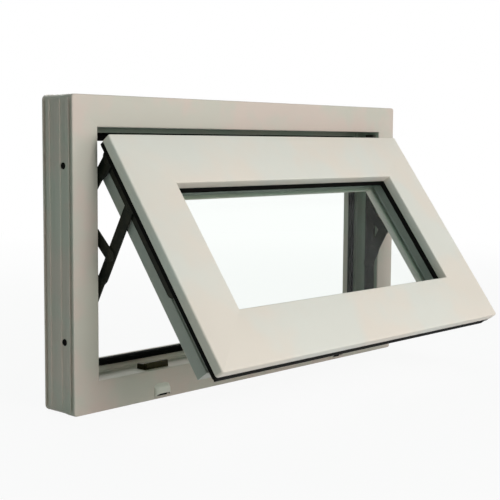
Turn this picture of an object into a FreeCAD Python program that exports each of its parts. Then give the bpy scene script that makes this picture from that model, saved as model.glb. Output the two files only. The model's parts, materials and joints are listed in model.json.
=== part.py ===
# Top hung awning window: a hollow plastic frame and sash, double glazed, held open on two
# sliding friction stays.
# Millimetres. X runs along the width, +Y points indoors, +Z is up. The origin lies in the
# middle of the sill's underside. Change a number in SIZES and the whole window follows.

import FreeCAD, Part
import Sketcher
import math
import os

Vector = FreeCAD.Vector
Rotation = FreeCAD.Rotation
Placement = FreeCAD.Placement

SIZES = [
    # outer frame
    ("frame_width", 675.0),
    ("frame_height", 400.0),
    ("frame_depth", 60.0),
    ("frame_face", 40.0),
    ("frame_rebate", 49.0),
    ("upstand_rise", 16.0),
    ("outer_wall", 2.4),
    ("inner_web", 1.6),
    ("corner_round", 4.0),
    ("edge_round", 1.5),
    # trim grooves and shallow recesses along the outer side of the frame
    ("groove_start", 3.0),
    ("groove_width", 5.0),
    ("groove_deep", 2.5),
    ("recess_start", 14.0),
    ("recess_width", 11.0),
    ("recess_deep", 1.2),
    ("floor_channel_start", 31.0),
    ("floor_channel_end", 45.0),
    ("floor_channel_deep", 1.2),
    # sash
    ("sash_lap", 6.0),
    ("sash_face", 74.5),
    ("sash_depth", 60.0),
    ("flange_thick", 12.5),
    ("weather_gap", 5.0),
    ("stack_height", 12.0),
    ("hardware_groove_wide", 16.0),
    ("hardware_groove_deep", 3.0),
    ("hardware_channel_wide", 11.0),
    ("hardware_channel_deep", 6.0),
    ("opening_angle", 36.1),
    # glazing
    ("glass_setback", 20.0),
    ("pane_thick", 4.0),
    ("pane_cavity", 16.0),
    ("glass_bite", 12.0),
    ("glass_edge_gap", 4.0),
    ("glazing_seal", 6.0),
    ("glazing_lip", 3.2),
    ("glazing_lip_thick", 2.0),
    ("spacer_wide", 7.0),
    ("bead_gap", 0.3),
    ("bead_sink", 2.0),
    # rubber seals
    ("seal_foot_wide", 2.6),
    ("seal_foot_deep", 2.6),
    ("seal_fit", 0.1),
    ("frame_seal_tall", 9.0),
    ("frame_seal_reach", 7.0),
    ("frame_seal_inset", 0.6),
    ("lap_seal_wide", 7.0),
    ("lap_seal_reach", 8.0),
    ("lap_seal_inset", 0.6),
    # friction stays, with drops measured down from the frame's top while the sash is shut
    ("track_line", 15.5),
    ("track_wide", 18.0),
    ("track_high", 3.2),
    ("track_sheet", 0.8),
    ("track_lip", 4.0),
    ("track_drop", 44.0),
    ("track_tail", 19.3),
    ("track_stop_long", 9.0),
    ("track_stop_high", 5.1),
    ("pivot_block_long", 18.0),
    ("slide_fit", 0.2),
    ("slider_high_drop", 91.0),
    ("slider_low_drop", 148.4),
    ("slider_overhang", 10.8),
    ("lower_pivot_drop", 256.7),
    ("crank_start", 25.5),
    ("crank_end", 32.3),
    ("short_arm_span", 39.8),
    ("link_span", 43.5),
    ("long_arm_span", 136.3),
    ("arm_thick", 2.4),
    ("arm_wide", 17.0),
    ("short_arm_wide", 19.0),
    ("link_wide", 15.0),
    ("sash_bar_wide", 18.0),
    ("sash_bar_start", 3.0),
    ("sash_bar_end", 216.0),
    ("rivet_round", 6.0),
    ("rivet_head", 11.0),
    ("rivet_head_high", 0.8),
    ("pivot_fit", 0.2),
    # sill fittings
    ("keep_from_side", 126.0),
    ("keep_long", 42.0),
    ("keep_wide", 17.0),
    ("keep_plate", 2.0),
    ("keep_rise", 9.0),
    ("keep_wall", 4.0),
    ("keep_end_rise", 7.5),
    ("keep_bevel", 1.6),
    ("keep_screw", 4.3),
    ("keep_screw_line", 11.5),
    ("cap_from_side", 134.8),
    ("cap_long", 27.0),
    ("cap_low", 4.0),
    ("cap_high", 21.0),
    ("cap_reach", 6.0),
    ("cap_wall", 1.4),
    ("drain_slot_long", 20.0),
    ("drain_slot_high", 5.0),
    # side fixings
    ("fixing_rise", 92.0),
    ("fixing_drop", 88.0),
    ("fixing_line", 20.0),
    ("fixing_hole", 6.5),
    # lock rail and indoor handle
    ("lock_rail_end", 31.0),
    ("lock_rail_thick", 2.8),
    ("cam_round", 7.0),
    ("cam_high", 6.5),
    ("handle_plate_long", 122.0),
    ("handle_plate_wide", 30.0),
    ("handle_plate_thick", 11.0),
    ("handle_neck_round", 19.0),
    ("handle_neck_long", 17.0),
    ("handle_lever_long", 118.0),
    ("handle_lever_wide", 20.0),
    ("handle_lever_thick", 11.0),
]

doc = FreeCAD.newDocument("AwningWindow")
sheet = doc.addObject("Spreadsheet::Sheet", "sizes")
for row, (size_name, size_value) in enumerate(SIZES, start=1):
    sheet.set("A%d" % row, size_name)
    sheet.set("B%d" % row, str(size_value))
    sheet.setAlias("B%d" % row, size_name)
doc.recompute()


class Size:
    """A length that knows its value and its formula in the sheet's names."""

    def __init__(self, value, formula):
        self.value = value
        self.formula = formula

    def __add__(self, other):
        other = as_size(other)
        return Size(self.value + other.value, "(%s + %s)" % (self.formula, other.formula))

    def __sub__(self, other):
        other = as_size(other)
        return Size(self.value - other.value, "(%s - %s)" % (self.formula, other.formula))

    def __mul__(self, factor):
        return Size(self.value * factor, "(%s * %s)" % (self.formula, factor))

    def __truediv__(self, divisor):
        return Size(self.value / divisor, "(%s / %s)" % (self.formula, divisor))

    def __neg__(self):
        return Size(-self.value, "(0 - %s)" % self.formula)

    __radd__ = __add__
    __rmul__ = __mul__


def as_size(number):
    """Wrap a plain number, so that it mixes with sheet sizes."""
    if isinstance(number, Size):
        return number
    return Size(float(number), repr(float(number)))


class Sizes:
    """Every alias of the sheet, read as an attribute."""

    def __getattr__(self, name):
        return Size(float(sheet.get(name)), "sizes." + name)


s = Sizes()
ZERO = as_size(0.0)
CUT_MARGIN = 5.0
LEAST_CUT = 0.01
CORNER_STEPS = (22.5, 45.0)
# places of the keep's screws and of the short arm's crank, as shares of their lengths
KEEP_SCREWS = (0.3, 0.8)
SHORT_ARM_CRANK = (0.42, 0.58)
# flat and bevel of the glazing bead, as shares of its depth
BEAD_FLAT, BEAD_BEVEL = 0.17, 0.55
# sections of the lever: share of its length, of its width and of its thickness
LEVER_SECTIONS = {"waist": (0.45, 0.82, 0.85), "tip": (1.0, 0.95, 0.8)}

# sizes that several pieces share
frame_seal_middle = s.frame_face + s.upstand_rise - s.frame_seal_inset - s.frame_seal_tall / 2
frame_upstand_top = s.frame_face + s.upstand_rise
sash_width = s.frame_width - s.frame_face * 2 + s.sash_lap * 2
sash_height = s.frame_height - s.frame_face * 2 + s.sash_lap * 2
sash_side = s.sash_lap + s.stack_height
hardware_line = s.flange_thick + s.weather_gap + s.track_line
lap_seal_middle = s.lap_seal_inset + s.lap_seal_wide / 2
glass_leg_back = s.glass_setback - s.glazing_seal
glass_back = s.glass_setback + s.pane_thick * 2 + s.pane_cavity
rebate_floor = s.sash_face - s.glass_bite - s.glass_edge_gap
glass_edge = rebate_floor + s.glass_edge_gap
arm_gap = (s.stack_height - s.track_high - s.arm_thick * 3) / 3
lower_layer = s.track_high + arm_gap
middle_layer = lower_layer + s.arm_thick + arm_gap
bar_layer = s.stack_height - s.arm_thick
slider_high_pivot = s.frame_height - s.slider_high_drop
slider_low_pivot = s.frame_height - s.slider_low_drop
lower_pivot = s.frame_height - s.lower_pivot_drop
track_low_end = lower_pivot - s.track_tail
track_length = s.lower_pivot_drop + s.track_tail - s.track_drop
upper_rivet_inset = s.slider_high_drop - s.short_arm_span - s.frame_face + s.sash_lap
lower_rivet_inset = s.lower_pivot_drop - s.long_arm_span - s.frame_face + s.sash_lap
cam_middle = s.frame_width / 2 - s.keep_from_side - s.keep_long / 2


def bind(thing, prop, size):
    """Give a property its value and tie it to the sheet."""
    size = as_size(size)
    setattr(thing, prop, size.value)
    thing.setExpression(prop, size.formula)


def new_body(label):
    """Start an empty body with the name of its sub-part."""
    body = doc.addObject("PartDesign::Body", label)
    body.Label = label
    return body


def origin_plane(body, role):
    """One of the body's own three origin planes."""
    return [f for f in body.Origin.OriginFeatures if f.Role == role][0]


def new_sketch(body, name, role, offset=None):
    """An empty sketch on an origin plane, lifted off it by a bound offset where one is given."""
    sketch = body.newObject("Sketcher::SketchObject", name)
    sketch.AttachmentSupport = [(origin_plane(body, role), "")]
    sketch.MapMode = "FlatFace"
    if offset is not None:
        sketch.setExpression("AttachmentOffset.Base.z", as_size(offset).formula)
    return sketch


def tie(sketch, kind, edge, point, size):
    """Hold one point of an edge at a coordinate that follows the sheet."""
    index = sketch.addConstraint(Sketcher.Constraint(kind, edge, point, size.value))
    sketch.setExpression("Constraints[%d]" % index, size.formula)


def draw_outline(sketch, corners):
    """A closed outline of straight edges, each corner tied to its formulas."""
    corners = [(as_size(across), as_size(along)) for across, along in corners]
    first = sketch.GeometryCount
    count = len(corners)
    for i in range(count):
        start = Vector(corners[i][0].value, corners[i][1].value, 0)
        end = Vector(corners[(i + 1) % count][0].value, corners[(i + 1) % count][1].value, 0)
        sketch.addGeometry(Part.LineSegment(start, end), False)
    for i in range(count):
        after = first + (i + 1) % count
        sketch.addConstraint(Sketcher.Constraint("Coincident", first + i, 2, after, 1))
    for i in range(count):
        tie(sketch, "DistanceX", first + i, 1, corners[i][0])
        tie(sketch, "DistanceY", first + i, 1, corners[i][1])


def draw_circle(sketch, across, along, diameter):
    """A circle whose centre and diameter follow the sheet."""
    across, along = as_size(across), as_size(along)
    diameter = as_size(diameter)
    middle = Vector(across.value, along.value, 0)
    edge = sketch.addGeometry(Part.Circle(middle, Vector(0, 0, 1), diameter.value / 2), False)
    tie(sketch, "DistanceX", edge, 3, across)
    tie(sketch, "DistanceY", edge, 3, along)
    index = sketch.addConstraint(Sketcher.Constraint("Diameter", edge, diameter.value))
    sketch.setExpression("Constraints[%d]" % index, diameter.formula)


def box_corners(low_x, low_y, high_x, high_y):
    """The four corners of a rectangle."""
    return [(low_x, low_y), (high_x, low_y), (high_x, high_y), (low_x, high_y)]


def capsule_corners(start, end, width, steps=6):
    """A bar along x with round ends: two half circles of a few short edges each."""
    start, end, width = as_size(start), as_size(end), as_size(width)
    corners = []
    for i in range(steps + 1):
        turn = math.radians(-90.0 + 180.0 * i / steps)
        corners.append((end + width * (0.5 * math.cos(turn)), width * (0.5 * math.sin(turn))))
    for i in range(steps + 1):
        turn = math.radians(90.0 + 180.0 * i / steps)
        corners.append((start + width * (0.5 * math.cos(turn)), width * (0.5 * math.sin(turn))))
    return corners


def pad(body, sketch, length, both_ways=False, reverse=False):
    """Raise a sketch into a solid."""
    feature = body.newObject("PartDesign::Pad", sketch.Name + "_pad")
    feature.Profile = sketch
    bind(feature, "Length", length)
    feature.SideType = "Symmetric" if both_ways else "One side"
    feature.Reversed = reverse
    doc.recompute()
    return feature


def pocket(body, sketch, length=None, reverse=False):
    """Cut a sketch out of the body, right through it where no length is given."""
    before = body.Shape.Volume
    feature = body.newObject("PartDesign::Pocket", sketch.Name + "_cut")
    feature.Profile = sketch
    if length is None:
        feature.Type = "ThroughAll"
        feature.SideType = "Symmetric"
    else:
        bind(feature, "Length", length)
        feature.Reversed = reverse
    doc.recompute()
    if not feature.Shape.Volume < before - LEAST_CUT:
        raise RuntimeError("%s cuts nothing" % feature.Name)
    return feature


def cut_mitres(body, length, deepest, round_size=None):
    """Cut both ends of a rail at 45 degrees, with the welded corner's outer edge rounded."""
    sketch = new_sketch(body, body.Name + "_mitres", "XZ_Plane")
    half = length / 2
    far = deepest + CUT_MARGIN
    for side in (1, -1):
        if round_size is None:
            corners = [(half + CUT_MARGIN, ZERO - CUT_MARGIN)]
        else:
            centre = half - round_size
            corners = [(centre, ZERO - CUT_MARGIN), (centre, ZERO)]
            for angle in CORNER_STEPS:
                turn = math.radians(angle)
                corners.append((centre + round_size * math.sin(turn),
                                round_size * (1 - math.cos(turn))))
        corners.append((half - far, far))
        corners.append((half + CUT_MARGIN, far))
        if round_size is not None:
            corners.append((half + CUT_MARGIN, ZERO - CUT_MARGIN))
        draw_outline(sketch, [(across * side, along) for across, along in corners])
    return pocket(body, sketch)


def rail(label, length, outlines, deepest, round_size=None):
    """A mitred length of profile along X: Y runs indoors, Z runs from its outer edge inwards."""
    body = new_body(label)
    sketch = new_sketch(body, label + "_profile", "YZ_Plane")
    for corners in outlines:
        draw_outline(sketch, [(depth, inward) for inward, depth in corners])
    pad(body, sketch, length, both_ways=True)
    cut_mitres(body, length, deepest, round_size)
    return body


# Profiles: each corner is (distance inwards from the outer edge, depth behind the face).

def frame_profile():
    """Hollow L of the outer frame: grooved outer side, flat rebate, seal slot in the upstand."""
    depth = s.frame_depth
    wall = s.outer_wall
    web = s.inner_web
    groove_end = s.groove_start + s.groove_width
    recess_end = s.recess_start + s.recess_width
    slot_low = frame_seal_middle - s.seal_foot_wide / 2
    slot_high = frame_seal_middle + s.seal_foot_wide / 2
    slot_back = s.frame_rebate + s.seal_foot_deep
    outer = [
        (ZERO, s.edge_round), (s.edge_round, ZERO),
        (s.frame_face - s.edge_round, ZERO), (s.frame_face, s.edge_round),
        (s.frame_face, s.floor_channel_start),
        (s.frame_face - s.floor_channel_deep, s.floor_channel_start + s.floor_channel_deep),
        (s.frame_face - s.floor_channel_deep, s.floor_channel_end - s.floor_channel_deep),
        (s.frame_face, s.floor_channel_end),
        (s.frame_face, s.frame_rebate),
        (slot_low, s.frame_rebate), (slot_low, slot_back),
        (slot_high, slot_back), (slot_high, s.frame_rebate),
        (frame_upstand_top, s.frame_rebate),
        (frame_upstand_top, depth - s.edge_round), (frame_upstand_top - s.edge_round, depth),
        (s.edge_round, depth), (ZERO, depth - s.edge_round),
        (ZERO, depth - s.groove_start), (s.groove_deep, depth - s.groove_start),
        (s.groove_deep, depth - groove_end), (ZERO, depth - groove_end),
        (ZERO, depth - s.recess_start), (s.recess_deep, depth - s.recess_start),
        (s.recess_deep, depth - recess_end), (ZERO, depth - recess_end),
        (ZERO, recess_end), (s.recess_deep, recess_end),
        (s.recess_deep, s.recess_start), (ZERO, s.recess_start),
        (ZERO, groove_end), (s.groove_deep, groove_end),
        (s.groove_deep, s.groove_start), (ZERO, s.groove_start),
    ]
    outer_side = s.groove_deep + wall
    floor_side = s.frame_face - s.floor_channel_deep - wall
    front_web = s.recess_start
    rear_web = s.frame_rebate - wall - web
    front_room = box_corners(outer_side, wall, s.frame_face - wall, front_web)
    main_room = box_corners(s.recess_deep + wall, front_web + web, floor_side, rear_web)
    rear_room = box_corners(outer_side, rear_web + web, floor_side, depth - wall)
    upstand_room = box_corners(floor_side + web, s.frame_rebate + wall,
                               slot_low - web, depth - wall)
    return [outer, front_room, main_room, rear_room, upstand_room]


def sash_profile():
    """Hollow Z of the sash: lapping flange, hardware groove, glass leg and bead slot."""
    face = s.sash_face
    depth = s.sash_depth
    wall = s.outer_wall
    web = s.inner_web
    slot_low = lap_seal_middle - s.seal_foot_wide / 2
    slot_high = lap_seal_middle + s.seal_foot_wide / 2
    slot_front = s.flange_thick - s.seal_foot_deep
    groove_front = hardware_line - s.hardware_groove_wide / 2
    groove_back = hardware_line + s.hardware_groove_wide / 2
    channel_front = hardware_line - s.hardware_channel_wide / 2
    channel_back = hardware_line + s.hardware_channel_wide / 2
    groove_floor = sash_side + s.hardware_groove_deep
    channel_floor = groove_floor + s.hardware_channel_deep
    outer = [
        (ZERO, s.edge_round), (s.edge_round, ZERO),
        (face - s.edge_round, ZERO), (face, s.edge_round),
        (face, glass_leg_back), (rebate_floor, glass_leg_back),
        (rebate_floor, depth), (sash_side + s.edge_round, depth), (sash_side, depth - s.edge_round),
        (sash_side, groove_back), (groove_floor, groove_back),
        (groove_floor, channel_back), (channel_floor, channel_back),
        (channel_floor, channel_front), (groove_floor, channel_front),
        (groove_floor, groove_front), (sash_side, groove_front),
        (sash_side, s.flange_thick),
        (slot_high, s.flange_thick), (slot_high, slot_front),
        (slot_low, slot_front), (slot_low, s.flange_thick),
        (ZERO, s.flange_thick),
    ]
    front_web = s.flange_thick - web
    flange_room = box_corners(slot_high + web, wall, sash_side, front_web)
    face_room = box_corners(sash_side + web, wall, rebate_floor - web, front_web)
    leg_room = box_corners(rebate_floor, wall, face - wall, glass_leg_back - wall)
    main_room = box_corners(channel_floor + web, s.flange_thick, rebate_floor - wall, depth - wall)
    back_room = box_corners(sash_side + wall, groove_back + web, channel_floor, depth - wall)
    front_room = box_corners(sash_side + wall, s.flange_thick, channel_floor, groove_front - web)
    return [outer, flange_room, face_room, leg_room, main_room, back_room, front_room]


def frame_seal_profile():
    """Rubber seal of the upstand: a foot in the slot and a round-shouldered bulb."""
    low = frame_seal_middle - s.frame_seal_tall / 2
    high = frame_seal_middle + s.frame_seal_tall / 2
    foot = s.seal_foot_wide / 2 - s.seal_fit
    front = s.frame_rebate - s.frame_seal_reach
    shoulder = s.frame_seal_reach / 3
    return [[
        (low, s.frame_rebate), (low + shoulder / 2, front + shoulder),
        (frame_seal_middle - shoulder / 2, front), (frame_seal_middle + shoulder / 2, front),
        (high - shoulder / 2, front + shoulder), (high, s.frame_rebate),
        (frame_seal_middle + foot, s.frame_rebate),
        (frame_seal_middle + foot, s.frame_rebate + s.seal_foot_deep - s.seal_fit),
        (frame_seal_middle - foot, s.frame_rebate + s.seal_foot_deep - s.seal_fit),
        (frame_seal_middle - foot, s.frame_rebate),
    ]]


def lap_seal_profile():
    """Full rubber seal behind the sash's flange, nearly flush with its edge."""
    low = s.lap_seal_inset
    high = s.lap_seal_inset + s.lap_seal_wide
    foot = s.seal_foot_wide / 2 - s.seal_fit
    back = s.flange_thick + s.lap_seal_reach
    shoulder = s.lap_seal_reach / 4
    return [[
        (low, s.flange_thick), (lap_seal_middle - foot, s.flange_thick),
        (lap_seal_middle - foot, s.flange_thick - s.seal_foot_deep + s.seal_fit),
        (lap_seal_middle + foot, s.flange_thick - s.seal_foot_deep + s.seal_fit),
        (lap_seal_middle + foot, s.flange_thick), (high, s.flange_thick),
        (high, back - shoulder), (high - shoulder, back),
        (low + shoulder, back), (low, back - shoulder),
    ]]


def glazing_seal_profile():
    """Wedge seal between the glass leg and the outer pane, its lip just past the sight line."""
    lip = s.sash_face + s.glazing_lip
    return [[
        (s.sash_face - s.glass_bite / 2, glass_leg_back), (s.sash_face, glass_leg_back),
        (lip, s.glass_setback - s.glazing_lip_thick), (lip, s.glass_setback),
        (s.sash_face - s.glass_bite / 2, s.glass_setback),
    ]]


def bead_profile():
    """Hollow clip-in glazing bead that slopes away from the glass."""
    front = glass_back + s.bead_gap
    back = s.sash_depth
    wall = s.inner_web
    line = s.sash_face - s.bead_sink
    flat = (back - front) * BEAD_FLAT
    bevel = (back - front) * BEAD_BEVEL
    floor = rebate_floor
    outer = [
        (floor, front), (line, front), (line, front + flat), (line - bevel, back), (floor, back),
    ]
    room = [
        (floor + wall, front + wall), (line - wall, front + wall), (line - wall, front + flat),
        (line - bevel - wall / 2, back - wall), (floor + wall, back - wall),
    ]
    return [outer, room]


# Poses of the sides of the frame and of the sash.

SIDES = {
    "sill": (0.0, 0, -1), "head": (180.0, 0, 1), "left": (90.0, -1, 0), "right": (-90.0, 1, 0),
}


def side_placement(side, width, height, front):
    """Where a rail stands in a window of this size, whose lower edge lies at z = 0."""
    turn, side_x, side_z = SIDES[side]
    base = Vector(side_x * width.value / 2, front, (1 + side_z) * height.value / 2)
    return Placement(base, Rotation(Vector(0, 1, 0), turn))


def solve_stay(angle):
    """Pose of the stay for an opening angle, in (outwards, up) from the track's line.

    The slider carries the upper pivot of the short arm and the pivot of the link, and runs
    down the track as the long arm swings out about its fixed lower pivot.
    """
    low = lower_pivot.value
    link = s.link_span.value
    inner = slider_low_pivot.value - link - low
    long_arm = s.long_arm_span.value
    short_arm = s.short_arm_span.value
    high = slider_high_pivot.value
    bar = (lower_rivet_inset - upper_rivet_inset).value

    def pose(slide):
        apart = slider_low_pivot.value - slide - low
        rise = (inner ** 2 - link ** 2 + apart ** 2) / (2 * apart)
        reach = math.sqrt(max(inner ** 2 - rise ** 2, 0.0))
        lean = math.atan2(reach, rise)
        middle = (reach, low + rise)
        end = (long_arm * math.sin(lean), low + long_arm * math.cos(lean))
        top = (0.0, high - slide)
        span = math.hypot(end[0] - top[0], end[1] - top[1])
        bend = math.acos(min(1.0, (short_arm ** 2 + span ** 2 - bar ** 2)
                             / (2 * short_arm * span)))
        heading = math.atan2(end[0] - top[0], end[1] - top[1]) - bend
        upper = (top[0] + short_arm * math.sin(heading), top[1] + short_arm * math.cos(heading))
        tilt = math.atan2(end[0] - upper[0], upper[1] - end[1])
        return tilt, {"top": top, "upper": upper, "end": end, "middle": middle,
                      "link": (0.0, slider_low_pivot.value - slide), "lower": (0.0, low)}

    low_slide, high_slide = 0.0, link
    for _ in range(60):
        slide = (low_slide + high_slide) / 2
        if pose(slide)[0] < math.radians(angle):
            low_slide = slide
        else:
            high_slide = slide
    return pose(slide)[1]


stay = solve_stay(s.opening_angle.value)
face_y = -s.frame_depth.value / 2
track_y = face_y + s.track_line.value


def stay_point(name):
    """A pivot of the stay as (y, z) of the whole window."""
    outwards, up = stay[name]
    return track_y - outwards, up


def sash_placement():
    """The sash's own frame (lower edge at z = 0, face at y = 0) set on the stays' upper pivots."""
    upper_y, upper_z = stay_point("upper")
    pivot = Vector(0, hardware_line.value, (sash_height - upper_rivet_inset).value)
    turn = Rotation(Vector(1, 0, 0), -s.opening_angle.value)
    return Placement(Vector(0, upper_y, upper_z) - turn.multVec(pivot), turn)


sash_pose = sash_placement()


def make_frame_rails():
    """Four mitred frame rails, the jambs drilled for the wall fixings, the sill for drains."""
    for side, name in (("sill", "frame_sill"), ("head", "frame_head"),
                       ("left", "frame_jamb_left"), ("right", "frame_jamb_right")):
        length = s.frame_height if side in ("left", "right") else s.frame_width
        body = rail(name, length, frame_profile(), frame_upstand_top, s.corner_round)
        if side in ("left", "right"):
            way = -1 if side == "left" else 1
            holes = new_sketch(body, name + "_fixings", "XY_Plane")
            half = s.frame_height / 2
            for up in (s.fixing_rise - half, half - s.fixing_drop):
                draw_circle(holes, up * way, s.fixing_line, s.fixing_hole)
            pocket(body, holes)
        if side == "sill":
            drill_drains(body)
        body.Placement = side_placement(side, s.frame_width, s.frame_height, face_y)
        finish(body)


def drill_drains(body):
    """Slots that let rain out of the rebate, through the front room to the capped face."""
    cap_middle = s.frame_width / 2 - s.cap_from_side - s.cap_long / 2
    cap_height = (s.cap_low + s.cap_high) / 2
    faces = new_sketch(body, "drain_face_slots", "XZ_Plane")
    floors = new_sketch(body, "drain_floor_slots", "XY_Plane", s.frame_face)
    half = s.drain_slot_long / 2
    for side in (1, -1):
        middle = cap_middle * side
        draw_outline(faces, box_corners(middle - half, cap_height - s.drain_slot_high / 2,
                                        middle + half, cap_height + s.drain_slot_high / 2))
        floor_middle = middle - s.drain_slot_long * side * 2
        draw_outline(floors, box_corners(floor_middle - half, s.outer_wall * 2,
                                         floor_middle + half,
                                         s.outer_wall * 2 + s.drain_slot_high))
    pocket(body, faces, s.outer_wall * 2)
    pocket(body, floors, s.outer_wall * 2)


def make_frame_seals():
    """Four lengths of rubber seal on the upstand."""
    for side in SIDES:
        length = s.frame_height if side in ("left", "right") else s.frame_width
        body = rail("frame_seal_" + side, length, frame_seal_profile(), frame_upstand_top)
        body.Placement = side_placement(side, s.frame_width, s.frame_height, face_y)
        finish(body)


SASH_NAMES = {"sill": "bottom", "head": "top", "left": "left", "right": "right"}


def sash_side_rails(prefix, outlines, deepest, round_size=None, suffix=None):
    """Four mitred lengths round the sash, in the sash's own pose."""
    for side in SIDES:
        length = sash_height if side in ("left", "right") else sash_width
        ending = SASH_NAMES[side] if suffix is None else suffix[side]
        body = rail(prefix + ending, length, outlines, deepest, round_size)
        local = side_placement(side, sash_width, sash_height, 0.0)
        body.Placement = sash_pose.multiply(local)
        finish(body)


def make_sash():
    """Sash rails and stiles, their lap seals, glazing seals and beads."""
    rails = {"sill": "rail_bottom", "head": "rail_top", "left": "stile_left",
             "right": "stile_right"}
    sash_side_rails("sash_", sash_profile(), s.sash_face, s.corner_round / 2, rails)
    sash_side_rails("lap_seal_", lap_seal_profile(), s.sash_face)
    sash_side_rails("glazing_seal_", glazing_seal_profile(), s.sash_face + s.glazing_lip)
    sash_side_rails("glazing_bead_", bead_profile(), s.sash_face)


def make_glass():
    """Two panes with a hollow spacer frame between them."""
    wide = sash_width - glass_edge * 2
    tall = sash_height - glass_edge * 2
    for name, front in (("glass_pane_outer", s.glass_setback),
                        ("glass_pane_inner", s.glass_setback + s.pane_thick + s.pane_cavity)):
        pane = doc.addObject("Part::Box", name)
        bind(pane, "Length", wide)
        bind(pane, "Width", s.pane_thick)
        bind(pane, "Height", tall)
        local = Placement(Vector(-wide.value / 2, front.value, glass_edge.value), Rotation())
        pane.Placement = sash_pose.multiply(local)
        finish(pane)
    block = doc.addObject("Part::Box", "spacer_block")
    window = doc.addObject("Part::Box", "spacer_window")
    bind(block, "Length", wide)
    bind(block, "Width", s.pane_cavity)
    bind(block, "Height", tall)
    bind(window, "Length", wide - s.spacer_wide * 2)
    bind(window, "Width", s.pane_cavity * 2)
    bind(window, "Height", tall - s.spacer_wide * 2)
    window.Placement.Base = Vector(s.spacer_wide.value, -s.pane_cavity.value / 2,
                                   s.spacer_wide.value)
    spacer = doc.addObject("Part::Cut", "glass_spacer")
    spacer.Base = block
    spacer.Tool = window
    front = s.glass_setback + s.pane_thick
    local = Placement(Vector(-wide.value / 2, front.value, glass_edge.value), Rotation())
    spacer.Placement = sash_pose.multiply(local)
    finish(spacer)


# Stay pieces are drawn along local X with the width across Y; Z rises from the jamb's face
# towards the sash.

def stay_placement(side, from_point, to_point, layer):
    """Lay a stay piece from one (y, z) point towards another, at a height over the jamb."""
    way = 1 if side == "left" else -1
    along = Vector(0, to_point[0] - from_point[0], to_point[1] - from_point[1])
    along.normalize()
    out = Vector(way, 0, 0)
    across = out.cross(along)
    turn = Rotation(along, across, out, "ZXY")
    jamb_x = -way * (s.frame_width.value / 2 - s.frame_face.value)
    return Placement(Vector(jamb_x + way * layer, from_point[0], from_point[1]), turn)


def make_track(side):
    """Rolled C track with the hole of the upper fixing, its fixed pivot block and its stop."""
    label = "stay_track_" + side
    body = new_body(label)
    half = s.track_wide / 2
    sheet_thick = s.track_sheet
    lip = half - s.track_lip
    top = s.track_high
    length = track_length
    section = new_sketch(body, label + "_profile", "YZ_Plane")
    draw_outline(section, [
        (-half, ZERO), (half, ZERO), (half, top), (lip, top), (lip, top - sheet_thick),
        (half - sheet_thick, top - sheet_thick), (half - sheet_thick, sheet_thick),
        (-half + sheet_thick, sheet_thick), (-half + sheet_thick, top - sheet_thick),
        (-lip, top - sheet_thick), (-lip, top), (-half, top),
    ])
    pad(body, section, length)
    fixing = new_sketch(body, label + "_fixing", "XY_Plane")
    draw_circle(fixing, length + s.track_drop - s.fixing_drop, s.fixing_line - s.track_line,
                s.fixing_hole)
    pocket(body, fixing)
    block = new_sketch(body, label + "_pivot_block", "XY_Plane")
    pivot = s.track_tail
    block_reach = s.pivot_block_long / 2
    draw_outline(block, box_corners(pivot - block_reach, -lip, pivot + block_reach, lip))
    pad(body, block, s.track_high)
    stop = new_sketch(body, label + "_stop", "XY_Plane")
    draw_outline(stop, box_corners(length - s.track_stop_long, -half + sheet_thick,
                                   length, half - sheet_thick))
    pad(body, stop, s.track_stop_high)
    rivet_hole = new_sketch(body, label + "_rivet_hole", "XY_Plane")
    draw_circle(rivet_hole, pivot, ZERO, s.rivet_round + s.pivot_fit)
    pocket(body, rivet_hole)
    low_end = (track_y, track_low_end.value)
    high_end = (track_y, (track_low_end + length).value)
    body.Placement = stay_placement(side, low_end, high_end, 0.0)
    finish(body)


def make_slider(side):
    """T-shaped slider that runs in the track and carries two pivots."""
    label = "stay_slider_" + side
    body = new_body(label)
    foot = s.track_wide / 2 - s.track_sheet - s.slide_fit
    neck = s.track_wide / 2 - s.track_lip - s.slide_fit
    floor = s.track_sheet + s.slide_fit / 2
    ledge = s.track_high - s.track_sheet - s.slide_fit / 2
    top = s.track_high + arm_gap / 2
    overhang = s.slider_overhang
    length = s.slider_low_drop - s.slider_high_drop + overhang * 2
    section = new_sketch(body, label + "_profile", "YZ_Plane")
    draw_outline(section, [
        (-foot, floor), (foot, floor), (foot, ledge), (neck, ledge), (neck, top),
        (-neck, top), (-neck, ledge), (-foot, ledge),
    ])
    pad(body, section, length)
    holes = new_sketch(body, label + "_holes", "XY_Plane")
    for along in (overhang, length - overhang):
        draw_circle(holes, along, ZERO, s.rivet_round + s.pivot_fit)
    pocket(body, holes)
    low_end = (track_y, stay["link"][1] - overhang.value)
    high_end = (track_y, stay["top"][1] + overhang.value)
    body.Placement = stay_placement(side, low_end, high_end, 0.0)
    finish(body)


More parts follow.
